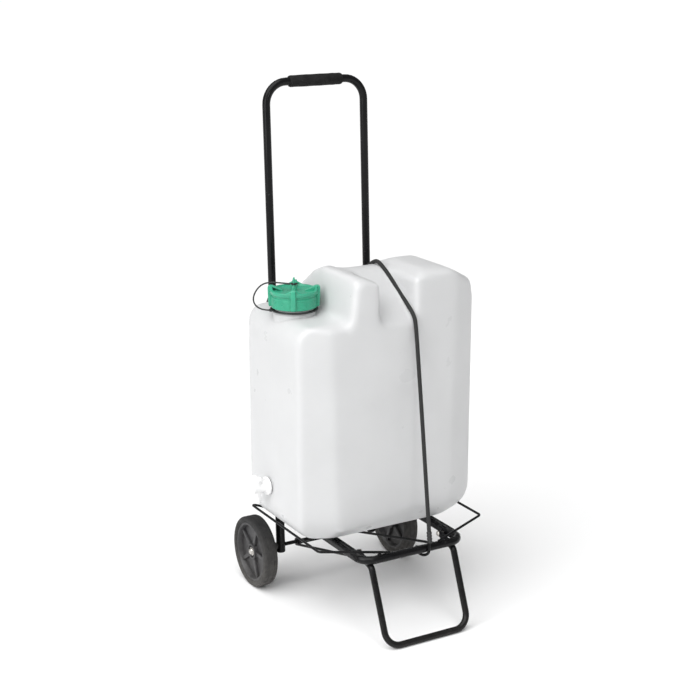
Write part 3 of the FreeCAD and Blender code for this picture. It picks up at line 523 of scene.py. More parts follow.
@dataclass(frozen=True)
class Finish:
    """A surface: its colours, its gloss, its fine relief and its wear."""

    name: str
    colour: Colour
    shade: Colour
    mottle: float
    gloss: tuple[float, float]
    grain: float
    relief: float
    scuff: Colour = (0.3, 0.3, 0.3)
    scuffed: float = 0.0
    dust: float = 0.0
    fixed: tuple[tuple[str, object], ...] = ()

    def height(self, wires: Wiring, where: bpy.types.NodeSocket) -> bpy.types.NodeSocket:
        """Return the relief's height field, which is fine noise unless a finish says otherwise."""
        return wires.noise(where, self.grain, 4.0)

    def tint(self, wires: Wiring, where: bpy.types.NodeSocket) -> bpy.types.NodeSocket:
        """Return the surface colour, mottled, scuffed and dusty where the real one is.

        Args:
            wires: The material's wiring.
            where: The coordinates to read.

        Returns:
            The output socket.
        """
        broad = wires.span(wires.noise(where, self.mottle), 0.35, 0.65, 0.0, 1.0)
        colour = wires.blend(broad, rgba(self.colour), rgba(self.shade))
        if self.scuffed:
            marks = wires.noise(where, self.mottle * 9, 6.0)
            edge = 0.72 - self.scuffed * 0.2
            colour = wires.blend(wires.span(marks, edge, edge + 0.05, 0.0, 0.6), colour, rgba(self.scuff))
        if self.dust:
            low = wires.span(wires.split(where)[2], 0.0, 0.16, self.dust, 0.0)
            speckle = wires.math("MULTIPLY", low, wires.noise(where, 140.0))
            colour = wires.blend(speckle, colour, rgba((0.32, 0.30, 0.27)))
        return colour

    def build(self) -> bpy.types.Material:
        """Make the node material.

        Returns:
            The new material.
        """
        material = bpy.data.materials.new(self.name)
        material.use_nodes = True
        wires = Wiring(material)
        where = wires.add("TexCoord", "Object")
        links, shader = wires.links, wires.shader
        links.new(self.tint(wires, where), shader.inputs["Base Color"])
        sheen = wires.span(wires.noise(where, self.mottle * 3, 5.0), 0.3, 0.7, *self.gloss)
        links.new(sheen, shader.inputs["Roughness"])
        bump = wires.add("Bump", 0, {"Strength": 1.0, "Distance": self.relief,
                                     "Height": self.height(wires, where)})
        links.new(bump, shader.inputs["Normal"])
        for name, value in self.fixed:
            shader.inputs[name].default_value = value
        return material


@dataclass(frozen=True)
class BlowMoulded(Finish):
    """Translucent polyethylene with the mould's parting line and faint flow bands."""

    parting: float = -0.141

    def height(self, wires: Wiring, where: bpy.types.NodeSocket) -> bpy.types.NodeSocket:
        """Return fine orange peel, broad waviness and a raised line round the parting plane.

        Args:
            wires: The material's wiring.
            where: The coordinates to read.

        Returns:
            The output socket.
        """
        away = wires.math("ABSOLUTE", wires.math("SUBTRACT", wires.split(where)[1], self.parting))
        line = wires.span(away, 0.0004, 0.0011, 1.6, 0.0)
        waves = wires.math("MULTIPLY", wires.noise(where, 9.0, 2.0), 3.0)
        return wires.math("ADD", wires.math("ADD", line, waves), wires.noise(where, self.grain, 4.0))


@dataclass(frozen=True)
class Drawn(Finish):
    """Metal or foam with lines that run round or along it."""

    stretch: Point = (1.0, 1.0, 1.0)

    def height(self, wires: Wiring, where: bpy.types.NodeSocket) -> bpy.types.NodeSocket:
        """Return noise that is stretched along the drawing direction."""
        drawn = wires.add("Mapping", 0, {"Vector": where, "Scale": self.stretch})
        return wires.noise(drawn, self.grain, 4.0)


@dataclass(frozen=True)
class Cellular(Finish):
    """Closed-cell foam rubber with small pores."""

    def height(self, wires: Wiring, where: bpy.types.NodeSocket) -> bpy.types.NodeSocket:
        """Return pores over a soft unevenness."""
        pores = wires.add("TexVoronoi", "Distance", {"Vector": where, "Scale": self.grain})
        return wires.math("ADD", pores, wires.noise(where, self.grain / 6))


@dataclass(frozen=True)
class Braided(Finish):
    """An elastic cord's woven sheath, whose strands cross along the cord's own map."""

    strands: float = 8.0
    repeats: float = 420.0

    def weave(self, wires: Wiring) -> bpy.types.NodeSocket:
        """Return the crossing strands as a height from 0 to 1.

        Args:
            wires: The material's wiring.

        Returns:
            The output socket.
        """
        around, along, _ = wires.split(wires.add("TexCoord", "UV"))
        lanes = wires.math("MULTIPLY", around, self.strands)
        steps = wires.math("MULTIPLY", along, self.repeats)
        one = wires.math("PINGPONG", wires.math("ADD", lanes, steps), 0.5)
        two = wires.math("PINGPONG", wires.math("SUBTRACT", lanes, steps), 0.5)
        return wires.math("ADD", one, two)

    def height(self, wires: Wiring, where: bpy.types.NodeSocket) -> bpy.types.NodeSocket:
        """Return the strands with a little fuzz."""
        return wires.math("ADD", self.weave(wires), wires.math("MULTIPLY", wires.noise(where, 2600.0), 0.2))

    def tint(self, wires: Wiring, where: bpy.types.NodeSocket) -> bpy.types.NodeSocket:
        """Return the sheath's colour, with painted shade between the strands."""
        return wires.blend(self.weave(wires), rgba(self.shade), rgba(self.colour))


class Dress(Enum):
    """The object's finishes."""

    TUBE = Finish("tube_paint", (0.003, 0.003, 0.0035), (0.006, 0.006, 0.0065), 14.0, (0.2, 0.34), 420.0,
                  0.00008, (0.04, 0.04, 0.04), 0.1, 0.05,
                  (("Specular IOR Level", 0.14), ("Coat Weight", 0.1), ("Coat Roughness", 0.12)))
    WIRE = Finish("wire_paint", (0.003, 0.003, 0.0035), (0.007, 0.007, 0.0075), 30.0, (0.26, 0.4), 700.0,
                  0.00006, (0.07, 0.07, 0.07), 0.15, 0.05, (("Specular IOR Level", 0.16),))
    MOULDED = Finish("moulded_black", (0.012, 0.012, 0.013), (0.02, 0.02, 0.021), 40.0, (0.38, 0.56), 1100.0,
                     0.00008, (0.12, 0.12, 0.12), 0.2, 0.1)
    FOAM = Cellular("grip_foam", (0.008, 0.008, 0.008), (0.015, 0.015, 0.015), 60.0, (0.75, 0.92), 900.0,
                    0.0005, fixed=(("Specular IOR Level", 0.2),))
    TYRE = Finish("tyre_rubber", (0.012, 0.012, 0.013), (0.022, 0.022, 0.023), 26.0, (0.6, 0.82), 900.0,
                  0.00022, (0.06, 0.058, 0.055), 0.3, 0.35, (("Specular IOR Level", 0.3),))
    WHEEL = Finish("wheel_nylon", (0.014, 0.014, 0.016), (0.024, 0.024, 0.027), 30.0, (0.38, 0.55), 700.0,
                   0.00012, (0.08, 0.08, 0.085), 0.2, 0.2)
    ZINC = Drawn("zinc_plate", (0.62, 0.6, 0.57), (0.48, 0.46, 0.43), 90.0, (0.22, 0.42), 500.0, 0.00006,
                 (0.2, 0.16, 0.12), 0.15, 0.0, (("Metallic", 1.0),), (0.2, 4.0, 4.0))
    BUSH = Finish("bush_nylon", (0.34, 0.24, 0.15), (0.42, 0.31, 0.2), 80.0, (0.4, 0.55), 900.0, 0.00006)
    TANK = BlowMoulded("tank_polyethylene", (0.64, 0.645, 0.65), (0.61, 0.615, 0.62), 7.0, (0.27, 0.4), 260.0,
                       0.00018, (0.7, 0.7, 0.7), 0.0, 0.0,
                       (("Subsurface Weight", 0.35), ("Subsurface Radius", (0.02, 0.02, 0.02)),
                        ("Subsurface Scale", 0.6), ("Specular IOR Level", 0.45)))
    TAP = Finish("tap_white", (0.86, 0.86, 0.86), (0.8, 0.8, 0.8), 50.0, (0.3, 0.42), 800.0, 0.00008,
                 fixed=(("Subsurface Weight", 0.15), ("Subsurface Radius", (0.01, 0.01, 0.01)),
                        ("Subsurface Scale", 0.3)))
    CAP = Finish("cap_green", (0.035, 0.36, 0.215), (0.03, 0.315, 0.19), 60.0, (0.26, 0.42), 900.0, 0.0001,
                 (0.12, 0.5, 0.33), 0.3, 0.0, (("Subsurface Weight", 0.08),
                                              ("Subsurface Radius", (0.004, 0.01, 0.007)),
                                              ("Subsurface Scale", 0.3)))
    SEAL = Finish("seal_rubber", (0.16, 0.16, 0.16), (0.12, 0.12, 0.12), 120.0, (0.6, 0.75), 1200.0, 0.00008)
    # The elastic's shade colour is painted shade, laid between the braid's strands by Braided.tint.
    ELASTIC = Braided("strap_elastic", (0.02, 0.02, 0.021), (0.004, 0.004, 0.004), 60.0, (0.6, 0.8), 900.0,
                      0.0006, fixed=(("Sheen Weight", 0.15), ("Sheen Roughness", 0.5),
                                     ("Specular IOR Level", 0.25)))

    def material(self) -> bpy.types.Material:
        """Return this finish's material, made once."""
        return bpy.data.materials.get(self.value.name) or self.value.build()


def dress(thing: Thing, finish: Dress, body: str, slot: str, *nodes: str, angle: float = 35.0) -> Thing:
    """Finish a piece: shade it, give it its material and set it riding on its body.

    Args:
        thing: The modelled piece.
        finish: Its finish.
        body: The CAD body that it moves with.
        slot: The record's material slot; not used.
        *nodes: The CAD nodes that it stands for.
        angle: Edges sharper than this many degrees stay crisp.

    Returns:
        The same object.
    """
    thing.data.materials.clear()
    thing.data.materials.append(finish.material())
    if thing.type == "MESH":
        activate(thing)
        bpy.ops.object.shade_smooth_by_angle(angle=math.radians(angle))
    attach(thing, body)
    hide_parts(*nodes)
    log.info("%s: %s on %s", thing.name, finish.value.name, body)
    return thing


class Side(Enum):
    """The trolley's two sides."""

    LEFT = -1
    RIGHT = 1

    @property
    def label(self) -> str:
        """The side's name, as in the CAD nodes' names."""
        return self.name.lower()


# ---------------------------------------------------------------- cords


def smooth_line(name: str, route: Sequence[Point], radius: float) -> Thing:
    """Lay a round cord along a smooth line through a route's pull.

    Args:
        name: The cord's name.
        route: Control points, given one by one.
        radius: Half the cord's thickness.

    Returns:
        A curve object.
    """
    curve = bpy.data.curves.new(name, "CURVE")
    curve.dimensions = "3D"
    spline = curve.splines.new("NURBS")
    spline.points.add(len(route) - 1)
    for point, spot in zip(spline.points, route):
        point.co = (*spot, 1.0)
    spline.order_u = 3
    spline.use_endpoint_u = True
    spline.resolution_u = 12
    curve.bevel_depth = radius
    curve.bevel_resolution = 5
    curve.use_fill_caps = True
    cord = bpy.data.objects.new(name, curve)
    bpy.context.scene.collection.objects.link(cord)
    return cord


@dataclass
class Strap:
    """The elastic strap that holds the tank, hooked under the lower cross tube and the platform."""

    radius: float = 0.004
    length: float = 1.205
    hook_radius: float = 0.0027
    hook_turn: float = math.radians(35)

    ROUTE = (
        (0.038, 0.0124, 0.176), (0.038, 0.0107, 0.232), (0.038, 0.007, 0.400), (0.038, 0.0044, 0.560),
        (0.038, 0.004, 0.606), (0.038, -0.0035, 0.624), (0.038, -0.043, 0.6367), (0.038, -0.126, 0.701),
        (0.038, -0.156, 0.701), (0.0388, -0.236, 0.6486), (0.039, -0.2775, 0.621), (0.039, -0.2845, 0.604),
        (0.0378, -0.2934, 0.556), (0.034, -0.322, 0.400), (0.0305, -0.349, 0.240), (0.0295, -0.3574, 0.192),
    )

    def hook(self, name: str, top: Point, crook: Point, reach: float, way: Vector) -> Thing:
        """Bend a wire hook that hangs from a strap's end and turns up under a tube.

        Args:
            name: The hook's name.
            top: The strap's end.
            crook: The middle of the tube that it holds.
            reach: The crook's radius.
            way: Which side of the tube the shank passes, level.

        Returns:
            The hook.
        """
        middle = Vector(crook)
        shank = middle + way * reach
        tip = middle - way * reach
        drop = Vector((0, 0, reach))
        route = [Vector(top), shank + Vector((0, 0, 0.006)), shank - drop, tip - drop,
                 tip + Vector((0, 0, 0.004))]
        return bend(name, route, [0.008, reach * 0.95, reach * 0.95], self.hook_radius, sides=16)

    def ferrule(self, name: str, end: Point, towards: Point) -> Thing:
        """Crimp a sleeve round the strap's end, with three pressed grooves.

        Args:
            name: The new object's name.
            end: The strap's end, which the sleeve goes round.
            towards: A point further along the strap's route.

        Returns:
            The new object.
        """
        outer, groove, half = self.radius + 0.0012, self.radius + 0.0006, 0.011
        outline = [(self.radius * 0.8, -half), (outer - 0.0004, -half), (outer, -half + 0.0006)]
        for middle in (-0.006, 0.0, 0.006):
            outline += [(outer, middle - 0.0016), (groove, middle - 0.0008), (groove, middle + 0.0008),
                        (outer, middle + 0.0016)]
        outline += [(outer, half - 0.0006), (outer - 0.0004, half), (self.radius * 0.8, half)]
        sleeve = turn(name, outline, steps=32)
        return put(sleeve, facing(end, Vector(towards) - Vector(end)))

    def build(self) -> None:
        """Make the strap, its hooks and its ferrules."""
        cord = smooth_line("elastic_strap_cord", self.ROUTE, self.radius)
        dress(cord, Dress.ELASTIC, "tank", "strap_elastic", "elastic_strap")
        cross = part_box("lower_cross_tube")
        rear_crook = (0.038, (cross[0].y + cross[1].y) / 2, (cross[0].z + cross[1].z) / 2)
        front_way = Vector((math.sin(self.hook_turn), -math.cos(self.hook_turn), 0))
        for end, spot, near, crook, reach, way in (
            ("front", self.ROUTE[-1], self.ROUTE[-2], (0.021, -0.3476, 0.1667), 0.0132, front_way),
            ("rear", self.ROUTE[0], self.ROUTE[1], rear_crook, 0.0097, Vector((0, 1, 0))),
        ):
            wire = self.hook(f"{end}_hook_wire", spot, crook, reach, way)
            dress(wire, Dress.WIRE, "tank", "black_tube", f"strap_hook_{end}")
            sleeve = self.ferrule(f"{end}_crimp_sleeve", spot, near)
            dress(sleeve, Dress.MOULDED, "tank", "black_plastic", f"strap_ferrule_{end}")


@dataclass
class Tether:
    """The cap's keeper: a ring on the neck, a thin tail and an eye on the cap's pin."""

    radius: float = 0.0015
    length: float = 0.135
    neck: tuple[float, float] = (-0.149, -0.141)

    ROUTE = (
        (-0.1552, -0.1374, 0.677), (-0.170, -0.128, 0.6788), (-0.187, -0.115, 0.6796),
        (-0.201, -0.108, 0.676), (-0.212, -0.1045, 0.665), (-0.2185, -0.104, 0.652),
        (-0.219, -0.1065, 0.6405), (-0.2135, -0.113, 0.6315), (-0.203, -0.1215, 0.6276),
        (-0.1925, -0.129, 0.6272),
    )

    def ring(self) -> Thing:
        """Turn the flat ring under the cap and weld its buckle to it.

        Returns:
            The new object.
        """
        low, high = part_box("tether_ring")
        outer = (high.x - low.x) / 2
        inner = outer - 0.0087
        band = turn("keeper_ring", [
            (inner, low.z), (outer - 0.001, low.z), (outer, low.z + 0.0008), (outer, high.z - 0.0008),
            (outer - 0.001, high.z), (outer - 0.003, high.z), (outer - 0.0036, high.z - 0.0006),
            (inner, high.z - 0.0006)], steps=72)
        put(band, Matrix.Translation((*self.neck, 0)))
        end = Vector(self.ROUTE[-1])
        outward = (Vector((end.x, end.y)) - Vector(self.neck)).normalized().to_3d()
        buckle = soften(block("buckle", (-0.0055, -0.0042, -0.0019), (0.0055, 0.0042, 0.0024)), 0.0012)
        turned = Matrix.Rotation(math.atan2(outward.y, outward.x), 4, "Z")
        put(buckle, Matrix.Translation(end + outward * -0.001) @ turned)
        return weld(band, buckle)

    def eye(self) -> Thing:
        """Turn the eye that snaps over the pin, with the tab that the tail grows from.

        Returns:
            The new object.
        """
        low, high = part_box("tether_eye")
        outer = (high.x - low.x) / 2
        ring = turn("keeper_eye", [
            (0.0022, low.z + 0.0002), (outer - 0.0014, low.z + 0.0002), (outer, low.z + 0.0011),
            (outer, high.z - 0.0011), (outer - 0.0014, high.z - 0.0002), (0.0034, high.z - 0.0002),
            (0.0022, high.z - 0.0009)], steps=40)
        put(ring, Matrix.Translation((*self.neck, 0)))
        start, ahead = Vector(self.ROUTE[0]), Vector(self.ROUTE[1])
        tab = prism("tab", [(0.0, -0.0042), (0.011, -0.0018), (0.011, 0.0018), (0.0, 0.0042)], "Z",
                    -0.0012, 0.0012)
        soften(tab, 0.0006)
        turned = Matrix.Rotation(math.atan2(ahead.y - start.y, ahead.x - start.x), 4, "Z")
        put(tab, Matrix.Translation(start) @ turned)
        return weld(ring, tab)

    def tail(self) -> tuple[Thing, list[Vector]]:
        """Lay the thin tail as a tube.

        Returns:
            The tube, and the line that it follows.
        """
        line = smooth_line("tail_line", self.ROUTE, 0.0)
        line.data.use_fill_caps = False
        bare = bpy.data.meshes.new_from_object(line.evaluated_get(bpy.context.evaluated_depsgraph_get()))
        path = [vertex.co.copy() for vertex in bare.vertices]
        line.data.bevel_depth = self.radius
        line.data.use_fill_caps = True
        activate(line)
        bpy.ops.object.convert(target="MESH")
        tube = bpy.context.object
        tube.name = "keeper_tail"
        with edit(tube):
            bpy.ops.mesh.remove_doubles(threshold=1e-5)
        return tube, path

    def build(self) -> None:
        """Make the ring, the eye and the tail between them."""
        dress(self.ring(), Dress.MOULDED, "tank", "black_plastic", "tether_ring")
        eye = dress(self.eye(), Dress.MOULDED, "cap_seal", "black_plastic", "tether_eye")
        tube, path = self.tail()
        dress(tube, Dress.MOULDED, "tank", "black_plastic", "cap_tether")
        tube.parent = None
        del tube["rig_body"]
        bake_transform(tube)


# ---------------------------------------------------------------- tank


@dataclass
class Tank:
    """The blow-moulded tank: two humps with a saddle between them, and a neck on its low deck."""

    half_length: float = 0.199
    front: float = -0.279
    rear: float = -0.003
    bottom: float = 0.1753
    deck: float = 0.618
    top: float = 0.704
    saddle: float = 0.694
    facet: tuple[float, float] = (0.069, 0.033)
    base_round: float = 0.060
    wall: float = 0.0026
    voxel: float = 0.0046
    polish: int = 30
    neck: tuple[float, float] = (-0.149, -0.141)
    neck_radius: float = 0.038
    collar_step: float = 0.003
    cap_room: float = 0.058
    tap: tuple[float, float] = (-0.120, 0.266)
    tap_hole: float = 0.0105
    hump_side: float = -0.088
    hump_foot: float = -0.097
    crease_top: float = 0.581
    crease_foot: float = 0.273
    crease_side: tuple[float, float] = (0.130, 0.0042)
    saddle_span: tuple[float, float] = (-0.046, 0.056)
    finger_span: tuple[float, float] = (-0.034, 0.044)
    collar_base: float = 0.0025
    beyond: float = 0.24
    front_profile: tuple[tuple[float, float], ...] = (
        (-0.239, 0.704), (-0.264, 0.701), (-0.279, 0.688))
    rear_profile: tuple[tuple[float, float], ...] = (
        (-0.132, 0.704), (-0.100, 0.690), (-0.065, 0.664), (-0.003, 0.608))

    @property
    def middle(self) -> float:
        """The tank's middle from front to rear."""
        return (self.front + self.rear) / 2

    def blank(self) -> Thing:
        """Shape the eight-sided blank with its rounded base and gently creased faces.

        Returns:
            The blank.
        """
        body = block("tank_body", (-self.half_length, self.front, self.bottom),
                     (self.half_length, self.rear, self.top))
        along, deep = self.facet
        with edit(body):
            for x_way in (-1, 1):
                for y_face, y_way in ((self.front, -1), (self.rear, 1)):
                    bpy.ops.mesh.select_all(action="SELECT")
                    corner = (x_way * self.half_length, y_face - y_way * deep, 0)
                    slope = Vector((x_way * deep, y_way * along, 0)).normalized()
                    bpy.ops.mesh.bisect(plane_co=corner, plane_no=slope, use_fill=True, clear_outer=True)
            for x_way, start, low_x in ((1, 0.043, 0.1195), (-1, 0.033, 0.110)):
                for y_face, y_way in ((self.front, -1), (self.rear, 1)):
                    crest = Vector((x_way * start, y_face, self.crease_top))
                    foot = Vector((x_way * low_x, y_face, self.crease_foot))
                    side_x, side_in = self.crease_side
                    edge = Vector((x_way * side_x, y_face - y_way * side_in, self.crease_top))
                    slope = (foot - crest).cross(edge - crest).normalized()
                    slope = slope if slope.y * y_way > 0 else -slope
                    bpy.ops.mesh.select_all(action="SELECT")
                    bpy.ops.mesh.bisect(plane_co=crest, plane_no=slope, use_fill=True, clear_outer=True)
            for profile in (self.front_profile, self.rear_profile):
                for (near_y, near_z), (far_y, far_z) in zip(profile, profile[1:]):
                    way = 1 if far_y > near_y else -1
                    slope = Vector((0, way * (near_z - far_z), abs(far_y - near_y))).normalized()
                    bpy.ops.mesh.select_all(action="SELECT")
                    bpy.ops.mesh.bisect(plane_co=(0, near_y, near_z), plane_no=slope, use_fill=True,
                                        clear_outer=True)
            floor = self.bottom + 1e-4
            pick_edges(body, lambda a, b: a.z < floor and b.z < floor)
            bpy.ops.mesh.bevel(offset=self.base_round, segments=9, profile=0.5, affect="EDGES")
        return body

    def hollows(self) -> list[Thing]:
        """Return the cutters for the deck, the shoulder, the saddle, its finger slopes and the cap's room.

        Returns:
            The cutters.
        """
        over = self.top + 0.03
        low_y, high_y = self.front - 0.02, self.rear + 0.02
        cutters = [
            prism("deck_cut", [(-self.beyond, self.deck - 0.052), (-0.199, self.deck - 0.022),
                               (-0.184, self.deck - 0.004), (-0.170, self.deck), (self.hump_foot, self.deck),
                               (self.hump_side, 0.690), (self.hump_side + 0.008, over),
                               (-self.beyond, over)],
                  "Y", low_y, high_y),
            prism("shoulder_cut", [(0.112, over), (0.124, self.top), (0.189, 0.671), (0.199, 0.640),
                                   (0.230, 0.600), (0.230, over)], "Y", low_y, high_y),
            prism("saddle_cut", [(-0.064, over), (-0.062, self.top), (self.saddle_span[0], self.saddle),
                                 (self.saddle_span[1], self.saddle), (0.072, self.top), (0.074, over)],
                  "Y", low_y, high_y),
            rod("cap_room", (*self.neck, self.deck), (*self.neck, over), self.cap_room, 64),
        ]
        for face, way in ((self.front, 1), (self.rear, -1)):
            cutters.append(prism("deck_round", [
                (face + way * 0.026, self.deck), (face + way * 0.006, self.deck - 0.007),
                (face, self.deck - 0.024), (face - way * 0.02, self.deck - 0.05),
                (face - way * 0.02, self.deck + 0.02), (face + way * 0.026, self.deck + 0.02)],
                "X", -self.beyond, self.hump_foot - 0.003))
            cutters.append(prism("finger_slope", [
                (self.middle - way * 0.016, self.saddle), (face + way * 0.052, 0.652),
                (face + way * 0.010, 0.612), (face - way * 0.02, 0.596), (face - way * 0.02, over),
                (self.middle - way * 0.016, over)], "X", *self.finger_span))
        return cutters

    def open_holes(self, body: Thing) -> None:
        """Open the neck's and the tap's round holes: carve two pits, then delete their own faces.

        Args:
            body: The tank to work on.
        """
        (x, y), deck, (tap_y, tap_z) = self.neck, self.deck, self.tap
        collar, hole = self.neck_radius + self.collar_step, self.tap_hole
        carve(body, rod("neck_pit", (x, y, deck - 0.03), (x, y, deck + 0.06), collar, 72),
              rod("tap_pit", (-self.beyond, tap_y, tap_z), (-0.17, tap_y, tap_z), hole, 40))

        def in_pit(spot: Vector, _: Vector) -> bool:
            """Whether a face's middle lies in either pit.

            Args:
                spot: The face's middle.
                _: The face's normal, which makes no difference.

            Returns:
                True when it does.
            """
            from_neck = math.hypot(spot.x - x, spot.y - y)
            from_tap = math.hypot(spot.y - tap_y, spot.z - tap_z)
            return from_neck < collar + 1e-4 and deck - 0.031 < spot.z < deck + 0.02 \
                or from_tap < hole + 1e-4 and spot.x < -0.165

        with edit(body):
            pick_faces(body, in_pit)
            bpy.ops.mesh.delete(type="FACE")

    def raise_neck(self, body: Thing) -> None:
        """Draw the neck up out of the deck's hole, with a collar and two thread beads.

        Args:
            body: The tank to work on.
        """
        collar = self.neck_radius + self.collar_step
        steps = [
            (0.0022, 0.985), (0.0022, 0.955), (0.0006, (self.neck_radius + 0.0006) / (collar * 0.941)),
            (0.004, 0.990), (0.0052, 1.0), (0.0015, 1.022), (0.0015, 1.0), (0.0015, 0.979), (0.006, 1.0),
            (0.0015, 1.022), (0.0015, 1.0), (0.0015, 0.979), (0.0088, 1.0),
        ]

        def rim(a: Vector, b: Vector) -> bool:
            """Whether an edge lies on the hole's rim."""
            reach = [math.hypot(spot.x - self.neck[0], spot.y - self.neck[1]) for spot in (a, b)]
            return min(a.z, b.z) > 0.58 and all(abs(value - collar) < 2e-4 for value in reach)

        with edit(body):
            pick_edges(body, rim)
            bpy.ops.mesh.extrude_region_move(TRANSFORM_OT_translate={"value": (0, 0, 0.002)})
            level = (*self.neck, self.deck + self.collar_base)
            bpy.ops.transform.resize(value=(1, 1, 0), center_override=level)
            for rise, shrink in steps:
                bpy.ops.mesh.extrude_region_move(TRANSFORM_OT_translate={"value": (0, 0, rise)})
                bpy.ops.transform.resize(value=(shrink, shrink, 1), center_override=(*self.neck, self.deck))

    def build(self) -> None:
        """Shape, soften, open and hollow the tank."""
        body = carve(self.blank(), *self.hollows())
        modify(body, "REMESH", mode="VOXEL", voxel_size=self.voxel)
        modify(body, "SMOOTH", factor=0.5, iterations=self.polish)
        self.open_holes(body)
        self.raise_neck(body)
        modify(body, "SOLIDIFY", thickness=self.wall, offset=-1.0)
        dress(body, Dress.TANK, "tank", "tank_plastic", "tank_shell", angle=50.0)


# ---------------------------------------------------------------- cap


@dataclass
class Cap:
    """The green screw cap: a ribbed skirt, a proud rim, four finger lobes and a centre pin."""

    neck: tuple[float, float] = (-0.149, -0.141)
    bottom: float = 0.633
    radius: float = 0.045
    roof: float = 0.6616
    top: float = 0.667
    neck_radius: float = 0.0383
    lobes: int = 4
    first_lobe: float = 60.0

    def skirt(self) -> Thing:
        """Turn the skirt, the rim, the dished top and the pin.

        Returns:
            The new object.
        """
        r, z = self.radius, self.bottom
        outline = [(self.neck_radius, z), (r - 0.0008, z), (r - 0.0002, z + 0.0008)]
        for ring in range(6):
            level = z + 0.0025 + ring * 0.0028
            outline += [(r - 0.0002, level), (r - 0.0007, level + 0.0005), (r - 0.0002, level + 0.001)]
        outline += [
            (r - 0.0004, z + 0.0205), (r - 0.002, z + 0.0222), (r - 0.002, z + 0.0252),
            (r + 0.0012, z + 0.0266), (r + 0.0018, z + 0.0275), (r + 0.0018, self.top - 0.0012),
            (r + 0.0008, self.top), (r - 0.0035, self.top), (r - 0.0055, self.top - 0.0022),
            (0.012, self.roof + 0.0022), (0.0062, self.roof + 0.003), (0.005, self.top + 0.006),
            (0.0044, self.top + 0.0083), (0.002, self.top + 0.0086), (0.0019, self.top + 0.0216),
            (0.0012, self.top + 0.0228), (0.0, self.top + 0.023), (0.0, self.roof),
            (self.neck_radius, self.roof),
        ]
        return turn("screw_cap_skin", outline, steps=96)

    def lobe(self, index: int) -> Thing:
        """Shape one finger lobe, standing proud of the rim, and turn it to its place.

        Args:
            index: Its number round the cap.

        Returns:
            The new object.
        """
        r, z = self.radius, self.bottom
        outline = [
            (r - 0.0025, z + 0.0006), (r + 0.0042, z + 0.0006), (r + 0.0052, z + 0.016),
            (r + 0.0058, self.top + 0.003), (r + 0.0046, self.top + 0.0066), (r + 0.0014, self.top + 0.0084),
            (r - 0.004, self.top + 0.0078), (r - 0.012, self.top + 0.004), (r - 0.024, self.top - 0.001),
            (r - 0.024, self.roof + 0.001), (r - 0.0025, self.roof + 0.001),
        ]
        half = 0.0047
        wing = prism(f"lobe_{index}", outline, "Y", -half, half)
        soften(wing, 0.0016, 4, 25.0)
        return put(wing, Matrix.Rotation(math.radians(self.first_lobe + 360 / self.lobes * index), 4, "Z"))

    def brow(self, index: int) -> Thing:
        """Shape the curved brow that ties a lobe's top to the rim on both sides.

        Args:
            index: Its number round the cap.

        Returns:
            The new object.
        """
        deselect()
        start = self.first_lobe + 360 / self.lobes * index
        r, top = self.radius, self.top
        points = []
        for step in range(-4, 5):
            angle = math.radians(start + step * 5.5)
            rise = 0.0062 * math.cos(step / 4 * math.pi / 2) ** 2
            reach = r - 0.0012
            points.append((math.cos(angle) * reach, math.sin(angle) * reach, top - 0.0022 + rise))
        return bend(f"brow_{index}", points, [0.02] * 7, 0.0026, sides=12)

    def build(self) -> None:
        """Weld the cap together, and dress its seal."""
        skin = self.skirt()
        weld(skin, *(self.lobe(index) for index in range(self.lobes)))
        weld(skin, *(self.brow(index) for index in range(self.lobes)))
        put(skin, Matrix.Translation((*self.neck, 0)))
        dress(skin, Dress.CAP, "cap", "cap_plastic", "screw_cap")
        low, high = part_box("cap_seal")
        outer = (high.x - low.x) / 2
        disc = turn("seal_disc", [
            (0.0, low.z), (outer - 0.0006, low.z), (outer, low.z + 0.0006), (outer, high.z - 0.0006),
            (outer - 0.0006, high.z), (0.024, high.z), (0.022, high.z - 0.0008), (0.0, high.z - 0.0008)],
            steps=64)
        put(disc, Matrix.Translation((*self.neck, 0)))
        dress(disc, Dress.SEAL, "cap_seal", "seal_rubber", "cap_seal")


# ---------------------------------------------------------------- tap


